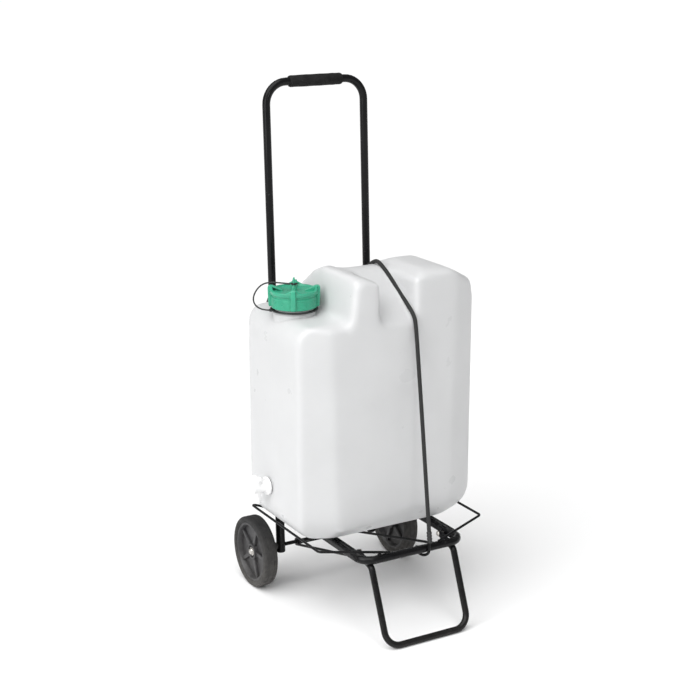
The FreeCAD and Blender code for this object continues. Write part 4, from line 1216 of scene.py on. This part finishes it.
@dataclass
class Tap:
    """The white drain tap in the tank's left end."""

    front: float = -0.120
    height: float = 0.266
    face: float = 0.201
    spout_out: float = 0.025

    def along(self, thing: Thing, start: float) -> Thing:
        """Turn a piece modelled along Z to point out of the tank's left end."""
        return put(thing, facing((-start, self.front, self.height), (-1, 0, 0)))

    def gasket(self) -> Thing:
        """Turn the flat gasket between the tank and the tap's flange.

        Returns:
            The new object.
        """
        ring = turn("tap_gasket_ring", [
            (0.0106, 0.0001), (0.0158, 0.0001), (0.0165, 0.001), (0.0158, 0.0019), (0.0106, 0.0019)])
        return self.along(ring, self.face - 0.002)

    def back_nut(self) -> Thing:
        """Shape the eight-sided nut inside the tank, with its bore.

        Returns:
            The new object.
        """
        nut = rod("tap_nut_inside", (0, 0, 0.0), (0, 0, 0.007), 0.0178, 8)
        soften(nut, 0.0008, 2)
        carve(nut, rod("nut_bore", (0, 0, -0.01), (0, 0, 0.02), 0.0106, 40))
        return self.along(nut, self.face - 0.002 - 0.0026 - 0.0071)

    def barrel(self) -> Thing:
        """Turn the flange and barrel, and weld the spout and the plug's tower to them.

        Returns:
            The new object.
        """
        tube = turn("tap_barrel_body", [
            (0.006, -0.014), (0.0098, -0.014), (0.0104, -0.0132), (0.0104, 0.0), (0.0168, 0.0),
            (0.018, 0.0010), (0.018, 0.0046), (0.0168, 0.006), (0.0125, 0.0066), (0.0112, 0.008),
            (0.0105, 0.011), (0.0105, 0.031), (0.0118, 0.0318), (0.0118, 0.0352), (0.0100, 0.0372),
            (0.006, 0.0384), (0.0, 0.0385), (0.0, 0.036), (0.006, 0.034)], steps=56)
        self.along(tube, self.face)
        ribs = []
        for index in range(12):
            angle = math.tau * index / 12
            y, z = self.front + 0.0174 * math.cos(angle), self.height + 0.0174 * math.sin(angle)
            ribs.append(rod(f"rib_{index}", (-self.face - 0.0006, y, z), (-self.face - 0.0054, y, z),
                            0.0013, 10))
        x = -self.face - self.spout_out
        spout = put(turn("spout", [
            (0.006, -0.030), (0.0078, -0.030), (0.0088, -0.029), (0.009, -0.0285), (0.009, -0.004),
            (0.006, 0.002)], steps=48), Matrix.Translation((x, self.front, self.height)))
        tower = put(turn("tower", [
            (0.0061, 0.0), (0.0095, 0.0), (0.0095, 0.0122), (0.0090, 0.0136), (0.0086, 0.015),
            (0.0061, 0.015)], steps=48), Matrix.Translation((x, self.front, self.height)))
        weld(tube, spout, tower, *ribs)
        return carve(tube, rod("seat", (x, self.front, self.height - 0.031),
                               (x, self.front, self.height + 0.02), 0.0061, 40))

    def key(self) -> Thing:
        """Shape the plug, its round head and its lever.

        Returns:
            The new object.
        """
        x = -self.face - self.spout_out
        plug = turn("tap_key_plug", [
            (0.0, -0.0068), (0.0054, -0.0068), (0.006, -0.006), (0.006, 0.0153), (0.0086, 0.0155),
            (0.0100, 0.0168), (0.0100, 0.0188), (0.0086, 0.0203), (0.004, 0.0208), (0.0, 0.0206)], steps=48)
        lever = prism("lever", [(-0.0042, -0.0148), (0.0042, -0.0148), (0.0033, 0.0), (0.0042, 0.0148),
                                (-0.0042, 0.0148), (-0.0033, 0.0)], "Z", 0.0163, 0.0223)
        soften(lever, 0.0014, 3)
        weld(plug, lever)
        carve(plug, rod("waterway", (0, -0.03, 0), (0, 0.03, 0), 0.004, 24))
        return put(plug, Matrix.Translation((x, self.front, self.height)))

    def build(self) -> None:
        """Make the tap's pieces."""
        dress(self.gasket(), Dress.SEAL, "tank", "seal_rubber", "tap_gasket")
        dress(self.back_nut(), Dress.TAP, "tank", "tap_plastic", "tap_back_nut")
        dress(self.barrel(), Dress.TAP, "tank", "tap_plastic", "tap_body")
        dress(self.key(), Dress.TAP, "tap_key", "tap_plastic", "tap_key")


# ---------------------------------------------------------------- back frame and handle


@dataclass
class BackFrame:
    """The two leaning back tubes, their cross tubes, collars, plugs, hinge brackets and bolts."""

    spacing: float = 0.1118
    lean: float = math.radians(2.29)
    foot_back: float = -0.0024
    radius: float = 0.0095
    wall: float = 0.0012
    foot: float = 0.062
    top: float = 0.600
    cross_radius: float = 0.0065
    hinge: tuple[float, float] = (-0.024, 0.1677)

    def leaning(self, x: float = 0.0) -> Matrix:
        """Return the matrix that leans an upright piece onto a back tube's line."""
        return Matrix.Translation((x, self.foot_back, 0)) @ Matrix.Rotation(-self.lean, 4, "X")

    def line(self, height: float) -> float:
        """Return how far back the leaning tubes are at a height."""
        return self.foot_back + height * math.tan(self.lean)

    def tube(self, side: Side) -> Thing:
        """Turn one back tube, necked at its mouth, and drill it for the axle.

        Args:
            side: The side that it belongs to.

        Returns:
            The new object.
        """
        r, bore = self.radius, self.radius - self.wall
        pipe = turn(f"back_pipe_{side.label}", [
            (bore, self.foot), (r - 0.0004, self.foot), (r, self.foot + 0.0005), (r, 0.548),
            (r - 0.0005, 0.5495), (r - 0.0005, 0.5525), (r, 0.554), (r, self.top - 0.0005),
            (r - 0.0004, self.top), (bore, self.top)], steps=40)
        put(pipe, self.leaning(side.value * self.spacing))
        x = side.value * self.spacing
        return carve(pipe, rod("axle_drill", (x - 0.02, 0, 0.075), (x + 0.02, 0, 0.075), 0.004, 24))

    def collar(self, side: Side) -> Thing:
        """Turn the collar and draw out its grip ribs.

        Args:
            side: The side that it belongs to.

        Returns:
            The new object.
        """
        r, low, high = self.radius, self.top - 0.018, self.top + 0.010
        sleeve = turn(f"collar_{side.label}", [
            (r, low), (r + 0.0022, low), (r + 0.0032, low + 0.0015), (r + 0.0032, low + 0.004),
            (r + 0.0026, low + 0.0048), (r + 0.0026, high - 0.009), (r + 0.0032, high - 0.0082),
            (r + 0.0032, high - 0.006), (r + 0.001, high), (0.00806, high), (0.00806, self.top),
            (r, self.top)])
        with edit(sleeve):
            def rib(middle: Vector, normal: Vector) -> bool:
                """Whether a face lies on every other strip of the waist.

                Args:
                    middle: The face's middle.
                    normal: The face's normal.

                Returns:
                    True when it does.
                """
                strip = int(math.degrees(math.atan2(middle.y, middle.x)) // 7.5) % 2
                return strip == 0 and low + 0.005 < middle.z < high - 0.0095 and normal.z ** 2 < 0.1 \
                    and middle.xy.length > r + 0.002
            pick_faces(sleeve, rib)
            bpy.ops.mesh.extrude_faces_move(TRANSFORM_OT_shrink_fatten={"value": 0.0006})
        return put(sleeve, self.leaning(side.value * self.spacing))

    def plug(self, side: Side) -> Thing:
        """Turn the domed stopper in the tube's foot.

        Args:
            side: The side that it belongs to.

        Returns:
            The new object.
        """
        r, bore, z = self.radius, self.radius - self.wall, self.foot
        stopper = turn(f"foot_plug_{side.label}", [
            (0.0, z - 0.003), (r - 0.003, z - 0.0028), (r - 0.0008, z - 0.0018), (r, z - 0.0006), (r, z),
            (bore, z), (bore, z + 0.006), (0.0, z + 0.006)], steps=40)
        return put(stopper, self.leaning(side.value * self.spacing))

    def cross(self, name: str, height: float) -> Thing:
        """Make a cross tube with a weld bead at each end.

        Args:
            name: The new object's name.
            height: Its height above the floor.

        Returns:
            The new object.
        """
        y, reach = self.line(height), self.spacing - self.radius + 0.0012
        tube = bend(name, [(-reach, y, height), (reach, y, height)], [], self.cross_radius,
                    sides=28, blunt=0.02)
        beads = [bead(f"{name}_bead_{way}", (way * (reach - 0.0012), y, height), (1, 0, 0),
                      self.cross_radius + 0.0003, 3 + way) for way in (-1, 1)]
        return gather(name, [tube, *beads])

    def bracket(self, side: Side) -> Thing:
        """Shape a hinge bracket: a saddle round the back tube with two round-nosed ears.

        Args:
            side: The side that it belongs to.

        Returns:
            The new object.
        """
        low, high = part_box(f"hinge_bracket_{side.label}")
        y, z = self.hinge
        ear, half = 0.003, (high.z - low.z) / 2
        nose = [(y + half * math.cos(a), z + half * math.sin(a))
                for a in (math.radians(90 + step * 22.5) for step in range(9))]
        shape = prism(f"bracket_{side.label}", [(high.y, z + half), *nose, (high.y, z - half)], "X",
                      low.x, high.x)
        slot = block("slot", (low.x + ear, low.y - 0.01, low.z - 0.01),
                     (high.x - ear, y + 0.0085, high.z + 0.01))
        x = side.value * self.spacing
        bore = put(rod("bore", (0, 0, 0.1), (0, 0, 0.25), self.radius, 40), self.leaning(x))
        carve(shape, slot, bore)
        return soften(shape, 0.0007, 2, 50.0)

    def bolt(self, side: Side) -> Thing:
        """Shape a pivot bolt with a domed head and a nut.

        Args:
            side: The side that it belongs to.

        Returns:
            The new object.
        """
        low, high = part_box(f"pivot_bolt_{side.label}")
        y, z = self.hinge
        length = high.x - low.x
        pin = turn(f"hinge_bolt_{side.label}", [
            (0.0, 0.0), (0.0022, 0.0001), (0.0042, 0.0009), (0.005, 0.0022), (0.005, 0.0025), (0.003, 0.0025),
            (0.003, length - 0.0004), (0.0022, length), (0.0, length)], steps=36)
        nut = soften(rod("nut", (0, 0, length - 0.0026), (0, 0, length - 0.0004), 0.0052, 6), 0.0004, 2)
        weld(pin, nut)
        start = low.x if side is Side.RIGHT else high.x
        return put(pin, facing((start, y, z), (side.value, 0, 0)))

    def build(self) -> None:
        """Make the frame's pieces."""
        for side in Side:
            name = side.label
            dress(self.tube(side), Dress.TUBE, "frame", "black_tube", f"back_tube_{name}")
            dress(self.collar(side), Dress.MOULDED, "frame", "black_plastic", f"tube_collar_{name}")
            dress(self.plug(side), Dress.MOULDED, "frame", "black_plastic", f"tube_plug_{name}")
            dress(self.bracket(side), Dress.TUBE, "frame", "black_tube", f"hinge_bracket_{name}")
            dress(self.bolt(side), Dress.ZINC, "frame", "zinc_steel", f"pivot_bolt_{name}")
        dress(self.cross("cross_tube_upper", 0.560), Dress.TUBE, "frame", "black_tube", "upper_cross_tube")
        dress(self.cross("cross_tube_lower", 0.130), Dress.TUBE, "frame", "black_tube", "lower_cross_tube")


@dataclass
class Handle:
    """The telescoping handle: a bent tube, a foam grip and the guide bushes on its feet."""

    back: BackFrame
    radius: float = 0.008
    height: float = 1.043
    foot: float = 0.545
    corner: float = 0.044
    grip_radius: float = 0.012
    grip_length: float = 0.120

    def build(self) -> None:
        """Make the handle's pieces."""
        reach, top = self.back.spacing, self.height / math.cos(self.back.lean)
        tube = bend("handle_bow", [(-reach, 0, self.foot), (-reach, 0, top), (reach, 0, top),
                                   (reach, 0, self.foot)],
                    [self.corner] * 2, self.radius, sides=36, blunt=0.08)
        put(tube, self.back.leaning())
        dress(tube, Dress.TUBE, "handle", "black_tube", "handle_tube")
        r, half = self.grip_radius, self.grip_length / 2
        outline = [(self.radius, -half), (r - 0.0026, -half), (r - 0.0012, -half + 0.0012),
                   (r - 0.0003, -half + 0.0035), (r - 0.0004, -half + 0.014)]
        outline += [(r - 0.0001 - 0.0002 * math.cos(step * 1.9), -half + 0.02 + step * 0.01)
                    for step in range(9)]
        outline += [(radius, -height) for radius, height in reversed(outline[:5])]
        grip = turn("foam_grip", outline, steps=56)
        place = (0, self.back.foot_back + self.height * math.tan(self.back.lean), self.height)
        put(grip, facing(place, (1, 0, 0)))
        dress(grip, Dress.FOAM, "handle", "black_rubber", "handle_grip")
        seat, bore, foot = self.radius - 0.0012, 0.00824, self.foot
        for side in Side:
            bush = turn(f"guide_sleeve_{side.label}", [
                (0.0, foot - 0.008), (bore - 0.001, foot - 0.008), (bore, foot - 0.007),
                (bore, foot - 0.0052),
                (bore - 0.0005, foot - 0.0046), (bore - 0.0005, foot - 0.0034), (bore, foot - 0.0028),
                (bore, foot), (seat, foot), (seat, foot + 0.008), (0.0, foot + 0.008)], steps=32)
            put(bush, self.back.leaning(side.value * reach))
            dress(bush, Dress.MOULDED, "handle", "black_plastic", f"guide_bush_{side.label}")


# ---------------------------------------------------------------- axle and wheels


@dataclass
class RunningGear:
    """The axle, its spacers and push nuts, and the two wheels."""

    radius: float = 0.075
    width: float = 0.031
    outer_face: float = 0.187
    rim: float = 0.062
    hub: float = 0.017
    spokes: int = 5
    axle_radius: float = 0.004
    axle_end: float = 0.184

    def mounted(self, thing: Thing, side: Side, start: float) -> Thing:
        """Turn a piece modelled along Z to point outwards along the axle."""
        return put(thing, facing((side.value * start, 0, self.radius), (side.value, 0, 0)))

    def tyre(self, side: Side) -> Thing:
        """Turn the tyre: rounded shoulders, a raised bead on each face and two tread grooves.

        Args:
            side: The side that it belongs to.

        Returns:
            The new object.
        """
        r, w, rim = self.radius, self.width, self.rim
        half = [
            (rim, 0.0016), (rim + 0.0012, 0.0006), (rim + 0.0026, 0.0010), (rim + 0.0034, 0.0004),
            (rim + 0.0042, 0.0), (r - 0.0048, 0.0), (r - 0.0028, 0.0005), (r - 0.0012, 0.0016),
            (r - 0.0003, 0.0034), (r, 0.0058), (r, 0.0094), (r - 0.0007, 0.0098), (r - 0.0007, 0.0106),
            (r, 0.011),
        ]
        mirrored = [(radius, w - height) for radius, height in reversed(half)]
        return self.mounted(turn(f"tyre_ring_{side.label}", half + mirrored, steps=96), side,
                            self.outer_face - w)

    def centre(self, side: Side) -> Thing:
        """Turn the rim, web and hub, and weld the spokes to them.

        Args:
            side: The side that it belongs to.

        Returns:
            The new object.
        """
        w, rim, hub = self.width, self.rim, self.hub
        middle, web = w / 2, 0.003
        disc = turn(f"wheel_disc_{side.label}", [
            (0.007, 0.0), (hub - 0.001, 0.0), (hub, 0.001), (hub + 0.0008, middle - web),
            (rim - 0.0078, middle - web), (rim - 0.0056, 0.0042), (rim - 0.0042, 0.0024), (rim, 0.0022),
            (rim, w - 0.0022), (rim - 0.0042, w - 0.0024), (rim - 0.0056, w - 0.0042),
            (rim - 0.0078, middle + web), (hub + 0.0008, middle + web), (hub, w - 0.0056),
            (hub - 0.0012, w - 0.0046), (hub - 0.0034, w - 0.0046), (hub - 0.0044, w - 0.0056),
            (hub - 0.0052, w - 0.0086), (0.007, w - 0.0086)], steps=80)
        bars = []
        for index in range(self.spokes):
            bar = prism(f"spoke_{index}", [(hub - 0.001, -0.0050), (rim - 0.005, -0.0036),
                                           (rim - 0.005, 0.0036), (hub - 0.001, 0.0050)], "Z",
                        0.0062, w - 0.0074)
            soften(bar, 0.0013, 2)
            bars.append(put(bar, Matrix.Rotation(math.tau * index / self.spokes, 4, "Z")))
        weld(disc, *bars)
        return self.mounted(disc, side, self.outer_face - w)

    def bush(self, name: str, side: Side, start: float) -> Thing:
        """Turn a hub bush with a chamfered mouth.

        Args:
            name: The new object's name.
            side: The side that it belongs to.
            start: Where its inner face lies, out from the middle.

        Returns:
            The new object.
        """
        sleeve = turn(name, [
            (self.axle_radius + 0.0001, 0.0003), (0.0064, 0.0003), (0.0070, 0.0009), (0.0070, 0.0084),
            (0.0064, 0.009), (self.axle_radius + 0.0007, 0.009),
            (self.axle_radius + 0.0001, 0.0084)], steps=36)
        return self.mounted(sleeve, side, start)

    def build(self) -> None:
        """Make the axle and both wheels."""
        end, r = self.axle_end, self.axle_radius
        axle = turn("axle_bar", [(0.0, -end), (r - 0.0008, -end), (r, 0.0008 - end), (r, end - 0.0008),
                                 (r - 0.0008, end), (0.0, end)], steps=32)
        put(axle, facing((0, 0, self.radius), (1, 0, 0)))
        dress(axle, Dress.TUBE, "frame", "black_tube", "axle_rod")
        inner = self.outer_face - self.width
        for side in Side:
            name = side.label
            dress(self.tyre(side), Dress.TYRE, f"wheel_{name}", "black_tyre", f"tyre_{name}")
            dress(self.centre(side), Dress.WHEEL, f"wheel_{name}", "black_plastic", f"wheel_centre_{name}")
            inside = self.bush(f"hub_bush_inner_{name}", side, inner)
            dress(inside, Dress.BUSH, f"wheel_{name}", "black_plastic", f"wheel_bush_inner_{name}")
            outside = self.bush(f"hub_bush_outer_{name}", side, self.outer_face - 0.0163)
            dress(outside, Dress.BUSH, f"wheel_{name}", "black_plastic", f"wheel_bush_outer_{name}")
            nut = turn(f"push_cap_{name}", [
                (r, 0.0), (0.0088, 0.0), (0.0090, 0.0005), (0.0084, 0.0011), (0.0066, 0.0016),
                (0.0062, 0.0024), (0.0058, 0.0038), (0.0048, 0.0048), (0.0026, 0.0053), (0.0, 0.0054),
                (0.0, 0.0034), (r, 0.0034)],
                steps=36)
            self.mounted(nut, side, self.outer_face - 0.0065)
            dress(nut, Dress.ZINC, "frame", "zinc_steel", f"push_nut_{name}")
            low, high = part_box(f"axle_spacer_{name}")
            length = high.x - low.x
            spacer = turn(f"spacer_sleeve_{name}", [
                (r + 0.0001, 0.0), (r + 0.0028, 0.0), (r + 0.0034, 0.0006), (r + 0.003, 0.0024),
                (r + 0.003, length - 0.0034), (r + 0.0042, length - 0.0026), (r + 0.005, length - 0.002),
                (r + 0.005, length - 0.0004), (r + 0.0046, length), (r + 0.0001, length)], steps=32)
            self.mounted(spacer, side, min(abs(low.x), abs(high.x)))
            dress(spacer, Dress.MOULDED, "frame", "black_plastic", f"axle_spacer_{name}")


# ---------------------------------------------------------------- platform, stand and support wire


@dataclass
class Platform:
    """The folding platform: a bow with flattened arms, its wing wires and the stand's rivets."""

    height: float = 0.1667
    front: float = -0.3476
    spacing: float = 0.114
    radius: float = 0.008
    corner: float = 0.028
    hinge: tuple[float, float] = (-0.024, 0.1677)
    arm_centre: float = 0.112
    arm_half: tuple[float, float] = (0.010, 0.007)
    wire_radius: float = 0.0025

    def arm(self, side: Side) -> Thing:
        """Shape a flat-oval arm with two pressed grooves and a round end about its bolt.

        Args:
            side: The side that it belongs to.

        Returns:
            The new object.
        """
        y_hinge, z = self.hinge
        wide, deep = self.arm_half
        start = self.front + self.corner + 0.002
        points = [(self.front + self.corner - 0.012, z + 0.004), (start + 0.012, z + deep)]
        points += [(y_hinge + deep * math.cos(a), z + deep * math.sin(a))
                   for a in (math.radians(90 - step * 22.5) for step in range(9))]
        points += [(start + 0.012, z - deep), (self.front + self.corner - 0.012, z - 0.006)]
        x = side.value * self.arm_centre
        bar = prism(f"arm_{side.label}", points, "X", x - wide, x + wide)
        soften(bar, 0.0038, 4, 50.0)
        grooves = [block("groove", (x + offset - 0.0011, start + 0.018, z + deep - 0.0009),
                         (x + offset + 0.0011, y_hinge - 0.022, z + deep + 0.004))
                   for offset in (-0.0038, 0.0038)]
        eye = rod("eye", (x - 0.02, y_hinge, z), (x + 0.02, y_hinge, z), 0.00306, 24)
        return carve(bar, *grooves, eye)

    def bow(self) -> Thing:
        """Bend the front bow and weld the arms to it.

        Returns:
            The new object.
        """
        reach = self.front + self.corner + 0.010
        route = [(-self.spacing, reach, self.height), (-self.spacing, self.front, self.height),
                 (self.spacing, self.front, self.height), (self.spacing, reach, self.height)]
        tube = bend("platform_bow", route, [self.corner] * 2, self.radius, sides=32, blunt=0.2)
        return weld(tube, *(self.arm(side) for side in Side))

    def wing(self, side: Side) -> Thing:
        """Bend a wing wire, with a weld bead where it lies on the bow.

        Args:
            side: The side that it belongs to.

        Returns:
            The new object.
        """
        s, top = side.value, self.height + self.radius + self.wire_radius
        route = [(s * 0.057, self.front - 0.003, top), (s * 0.188, -0.303, 0.188), (s * 0.188, -0.015, 0.188),
                 (s * 0.158, -0.030, 0.180), (s * 0.1245, -0.052, 0.1675)]
        wire = bend(f"wing_rod_{side.label}", route, [0.009, 0.008, 0.010], self.wire_radius, sides=16)
        beads = []
        for index, share in enumerate((0.03, 0.16)):
            spot = Vector(route[0]).lerp(Vector(route[1]), share)
            beads.append(bead(f"wing_bead_{index}", (spot.x, self.front, self.height + self.radius + 0.0006),
                              (0, 0, 1), self.wire_radius + 0.0008, 11 + index))
        return gather(wire.name, [wire, *beads])

    def rivet(self, side: Side) -> Thing:
        """Turn a rivet with a domed head inside the stand's eye.

        Args:
            side: The side that it belongs to.

        Returns:
            The new object.
        """
        low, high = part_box(f"stand_rivet_{side.label}")
        length = high.x - low.x
        pin = turn(f"stand_pin_{side.label}", [
            (0.0, 0.0), (0.0026, 0.0001), (0.0046, 0.0008), (0.0055, 0.0018), (0.0055, 0.002), (0.003, 0.002),
            (0.003, length - 0.0005), (0.0025, length), (0.0, length)], steps=32)
        start = low.x if side is Side.RIGHT else high.x
        return put(pin, facing((start, (low.y + high.y) / 2, (low.z + high.z) / 2), (side.value, 0, 0)))

    def build(self) -> None:
        """Make the platform's pieces."""
        dress(self.bow(), Dress.TUBE, "platform", "black_tube", "platform_tube")
        for side in Side:
            dress(self.wing(side), Dress.WIRE, "platform", "black_tube", f"wing_wire_{side.label}")
            dress(self.rivet(side), Dress.ZINC, "platform", "zinc_steel", f"stand_rivet_{side.label}")


@dataclass
class Stand:
    """The front stand: a bent tube whose ends are pressed flat round their rivets."""

    radius: float = 0.0065
    pivot: tuple[float, float] = (-0.296, 0.165)
    eye_centre: float = 0.095
    eye_half: float = 0.004

    def eye(self, side: Side) -> Thing:
        """Shape a flattened end: a rounded tongue with a hole.

        Args:
            side: The side that it belongs to.

        Returns:
            The new object.
        """
        y, z = self.pivot
        slope = math.atan2(z - 0.1603, -0.312 - y)
        round_end = [(0.006 * math.cos(a), 0.006 * math.sin(a))
                     for a in (math.radians(-90 + step * 22.5) for step in range(9))]
        outline = [*round_end, (-0.022, 0.0064), (-0.026, 0.0), (-0.022, -0.0064)]
        tongue = prism(f"eye_{side.label}", outline, "X", -self.eye_half, self.eye_half)
        soften(tongue, 0.0022, 3, 50.0)
        tilt = Matrix.Rotation(-(math.pi - abs(slope)) if slope < 0 else math.pi - slope, 4, "X")
        put(tongue, Matrix.Translation((side.value * self.eye_centre, y, z)) @ tilt)
        return carve(tongue, rod("hole", (side.value * 0.08, y, z), (side.value * 0.11, y, z), 0.00306, 24))

    def build(self) -> None:
        """Bend the stand and weld its eyes on."""
        legs = [(0.095, -0.312, 0.1603), (0.0946, -0.345, 0.1515), (0.0937, -0.4048, self.radius)]
        route = [(-x, y, z) for x, y, z in legs] + [leg for leg in reversed(legs)]
        tube = bend("stand_bow", route, [0.014, 0.030, 0.030, 0.014], self.radius, sides=32)
        weld(tube, *(self.eye(side) for side in Side))
        dress(tube, Dress.TUBE, "stand", "black_tube", "stand_tube")


@dataclass
class SupportWire:
    """The wire that turns on the axle and props the platform's front."""

    radius: float = 0.0027
    half: float = 0.072

    def build(self) -> None:
        """Bend the wire and weld its two clips on."""
        route = [(-0.080, -0.3392, 0.159), (-self.half, 0.012, 0.0645), (self.half, 0.012, 0.0645),
                 (0.080, -0.3392, 0.159)]
        wire = bend("support_rod", route, [0.010, 0.010], self.radius, sides=18)
        clips = []
        for side in Side:
            clip = turn(f"clip_{side.label}", [(0.0041, -0.003), (0.0074, -0.003), (0.008, -0.0024),
                                               (0.008, 0.0024), (0.0074, 0.003), (0.0041, 0.003)], steps=36)
            clips.append(put(clip, facing((side.value * self.half, 0, 0.075), (1, 0, 0))))
        weld(wire, *clips)
        dress(wire, Dress.WIRE, "support", "black_tube", "support_wire")


# ---------------------------------------------------------------- studio


@dataclass
class Studio:
    """The camera, the pale floor and the soft light."""

    azimuth: float = math.radians(-30.22)
    pitch: float = math.radians(15.76)
    target: Point = (0.05818, 0.0, 0.48078)
    distance: float = 3.1829
    lens: float = 77.75
    floor_size: float = 60.0
    sky: float = 0.33
    overhead: float = 2.9

    def camera(self) -> None:
        """Stand the camera where it looks down at the tank's front left edge."""
        level = math.cos(self.pitch)
        back = Vector((math.sin(self.azimuth) * level, -math.cos(self.azimuth) * level, math.sin(self.pitch)))
        data = bpy.data.cameras.new("camera")
        data.lens = self.lens
        data.clip_end = 200.0
        camera = bpy.data.objects.new("camera", data)
        camera.location = Vector(self.target) + back * self.distance
        camera.rotation_euler = (-back).to_track_quat("-Z", "Y").to_euler()
        bpy.context.scene.collection.objects.link(camera)
        bpy.context.scene.camera = camera

    def floor(self) -> None:
        """Lay the pale floor, with a faint unevenness."""
        deselect()
        bpy.ops.mesh.primitive_plane_add(size=self.floor_size)
        floor = take("floor")
        material = bpy.data.materials.new("floor_paper")
        material.use_nodes = True
        wires = Wiring(material)
        where = wires.add("TexCoord", "Object")
        tone = wires.blend(wires.noise(where, 2.0), rgba((0.93, 0.93, 0.93)), rgba((0.91, 0.91, 0.91)))
        wires.links.new(tone, wires.shader.inputs["Base Color"])
        wires.shader.inputs["Roughness"].default_value = 0.9
        wires.shader.inputs["Specular IOR Level"].default_value = 0.1
        floor.data.materials.append(material)

    def lamp(self, name: str, kind: str, energy: float, place: Point, aim: Point, **settings: float) -> None:
        """Hang a lamp that points from its place to its aim.

        Args:
            name: The new object's name.
            kind: The lamp's type.
            energy: The lamp's strength.
            place: Where it goes.
            aim: The point that it shines at.
            **settings: The lamp's own properties.
        """
        data = bpy.data.lights.new(name, kind)
        data.energy = energy
        for key, value in settings.items():
            setattr(data, key, value)
        lamp = bpy.data.objects.new(name, data)
        lamp.location = place
        lamp.rotation_euler = (Vector(aim) - Vector(place)).to_track_quat("-Z", "Y").to_euler()
        bpy.context.scene.collection.objects.link(lamp)

    def light(self) -> None:
        """Hang the soft lights and the even sky."""
        world = bpy.data.worlds.new("sky")
        world.use_nodes = True
        sky = world.node_tree.nodes["Background"]
        sky.inputs["Color"].default_value = (1, 1, 1, 1)
        sky.inputs["Strength"].default_value = self.sky
        bpy.context.scene.world = world
        self.lamp("overhead", "SUN", self.overhead, (-1.3, -0.6, 3.0), (0, 0, 0.3), angle=math.radians(70))
        self.lamp("left_box", "AREA", 20.0, (-2.4, -1.0, 1.3), (0, -0.1, 0.5), size=1.4)
        self.lamp("front_strip", "AREA", 6.0, (-0.4, -2.6, 1.7), (0, -0.1, 0.5), size=0.5)

    def build(self) -> None:
        """Set up the whole studio."""
        bpy.context.scene.view_settings.view_transform = "Standard"
        self.camera()
        self.floor()
        self.light()


def main() -> None:
    """Build the studio, the cords and every sub-assembly."""
    logging.basicConfig(level=logging.INFO, format="%(message)s")
    Studio().build()
    Strap().build()
    Tether().build()
    Tank().build()
    Cap().build()
    Tap().build()
    back = BackFrame()
    back.build()
    Handle(back).build()
    RunningGear().build()
    Platform().build()
    Stand().build()
    SupportWire().build()
    deselect()


if __name__ == "__main__":
    main()
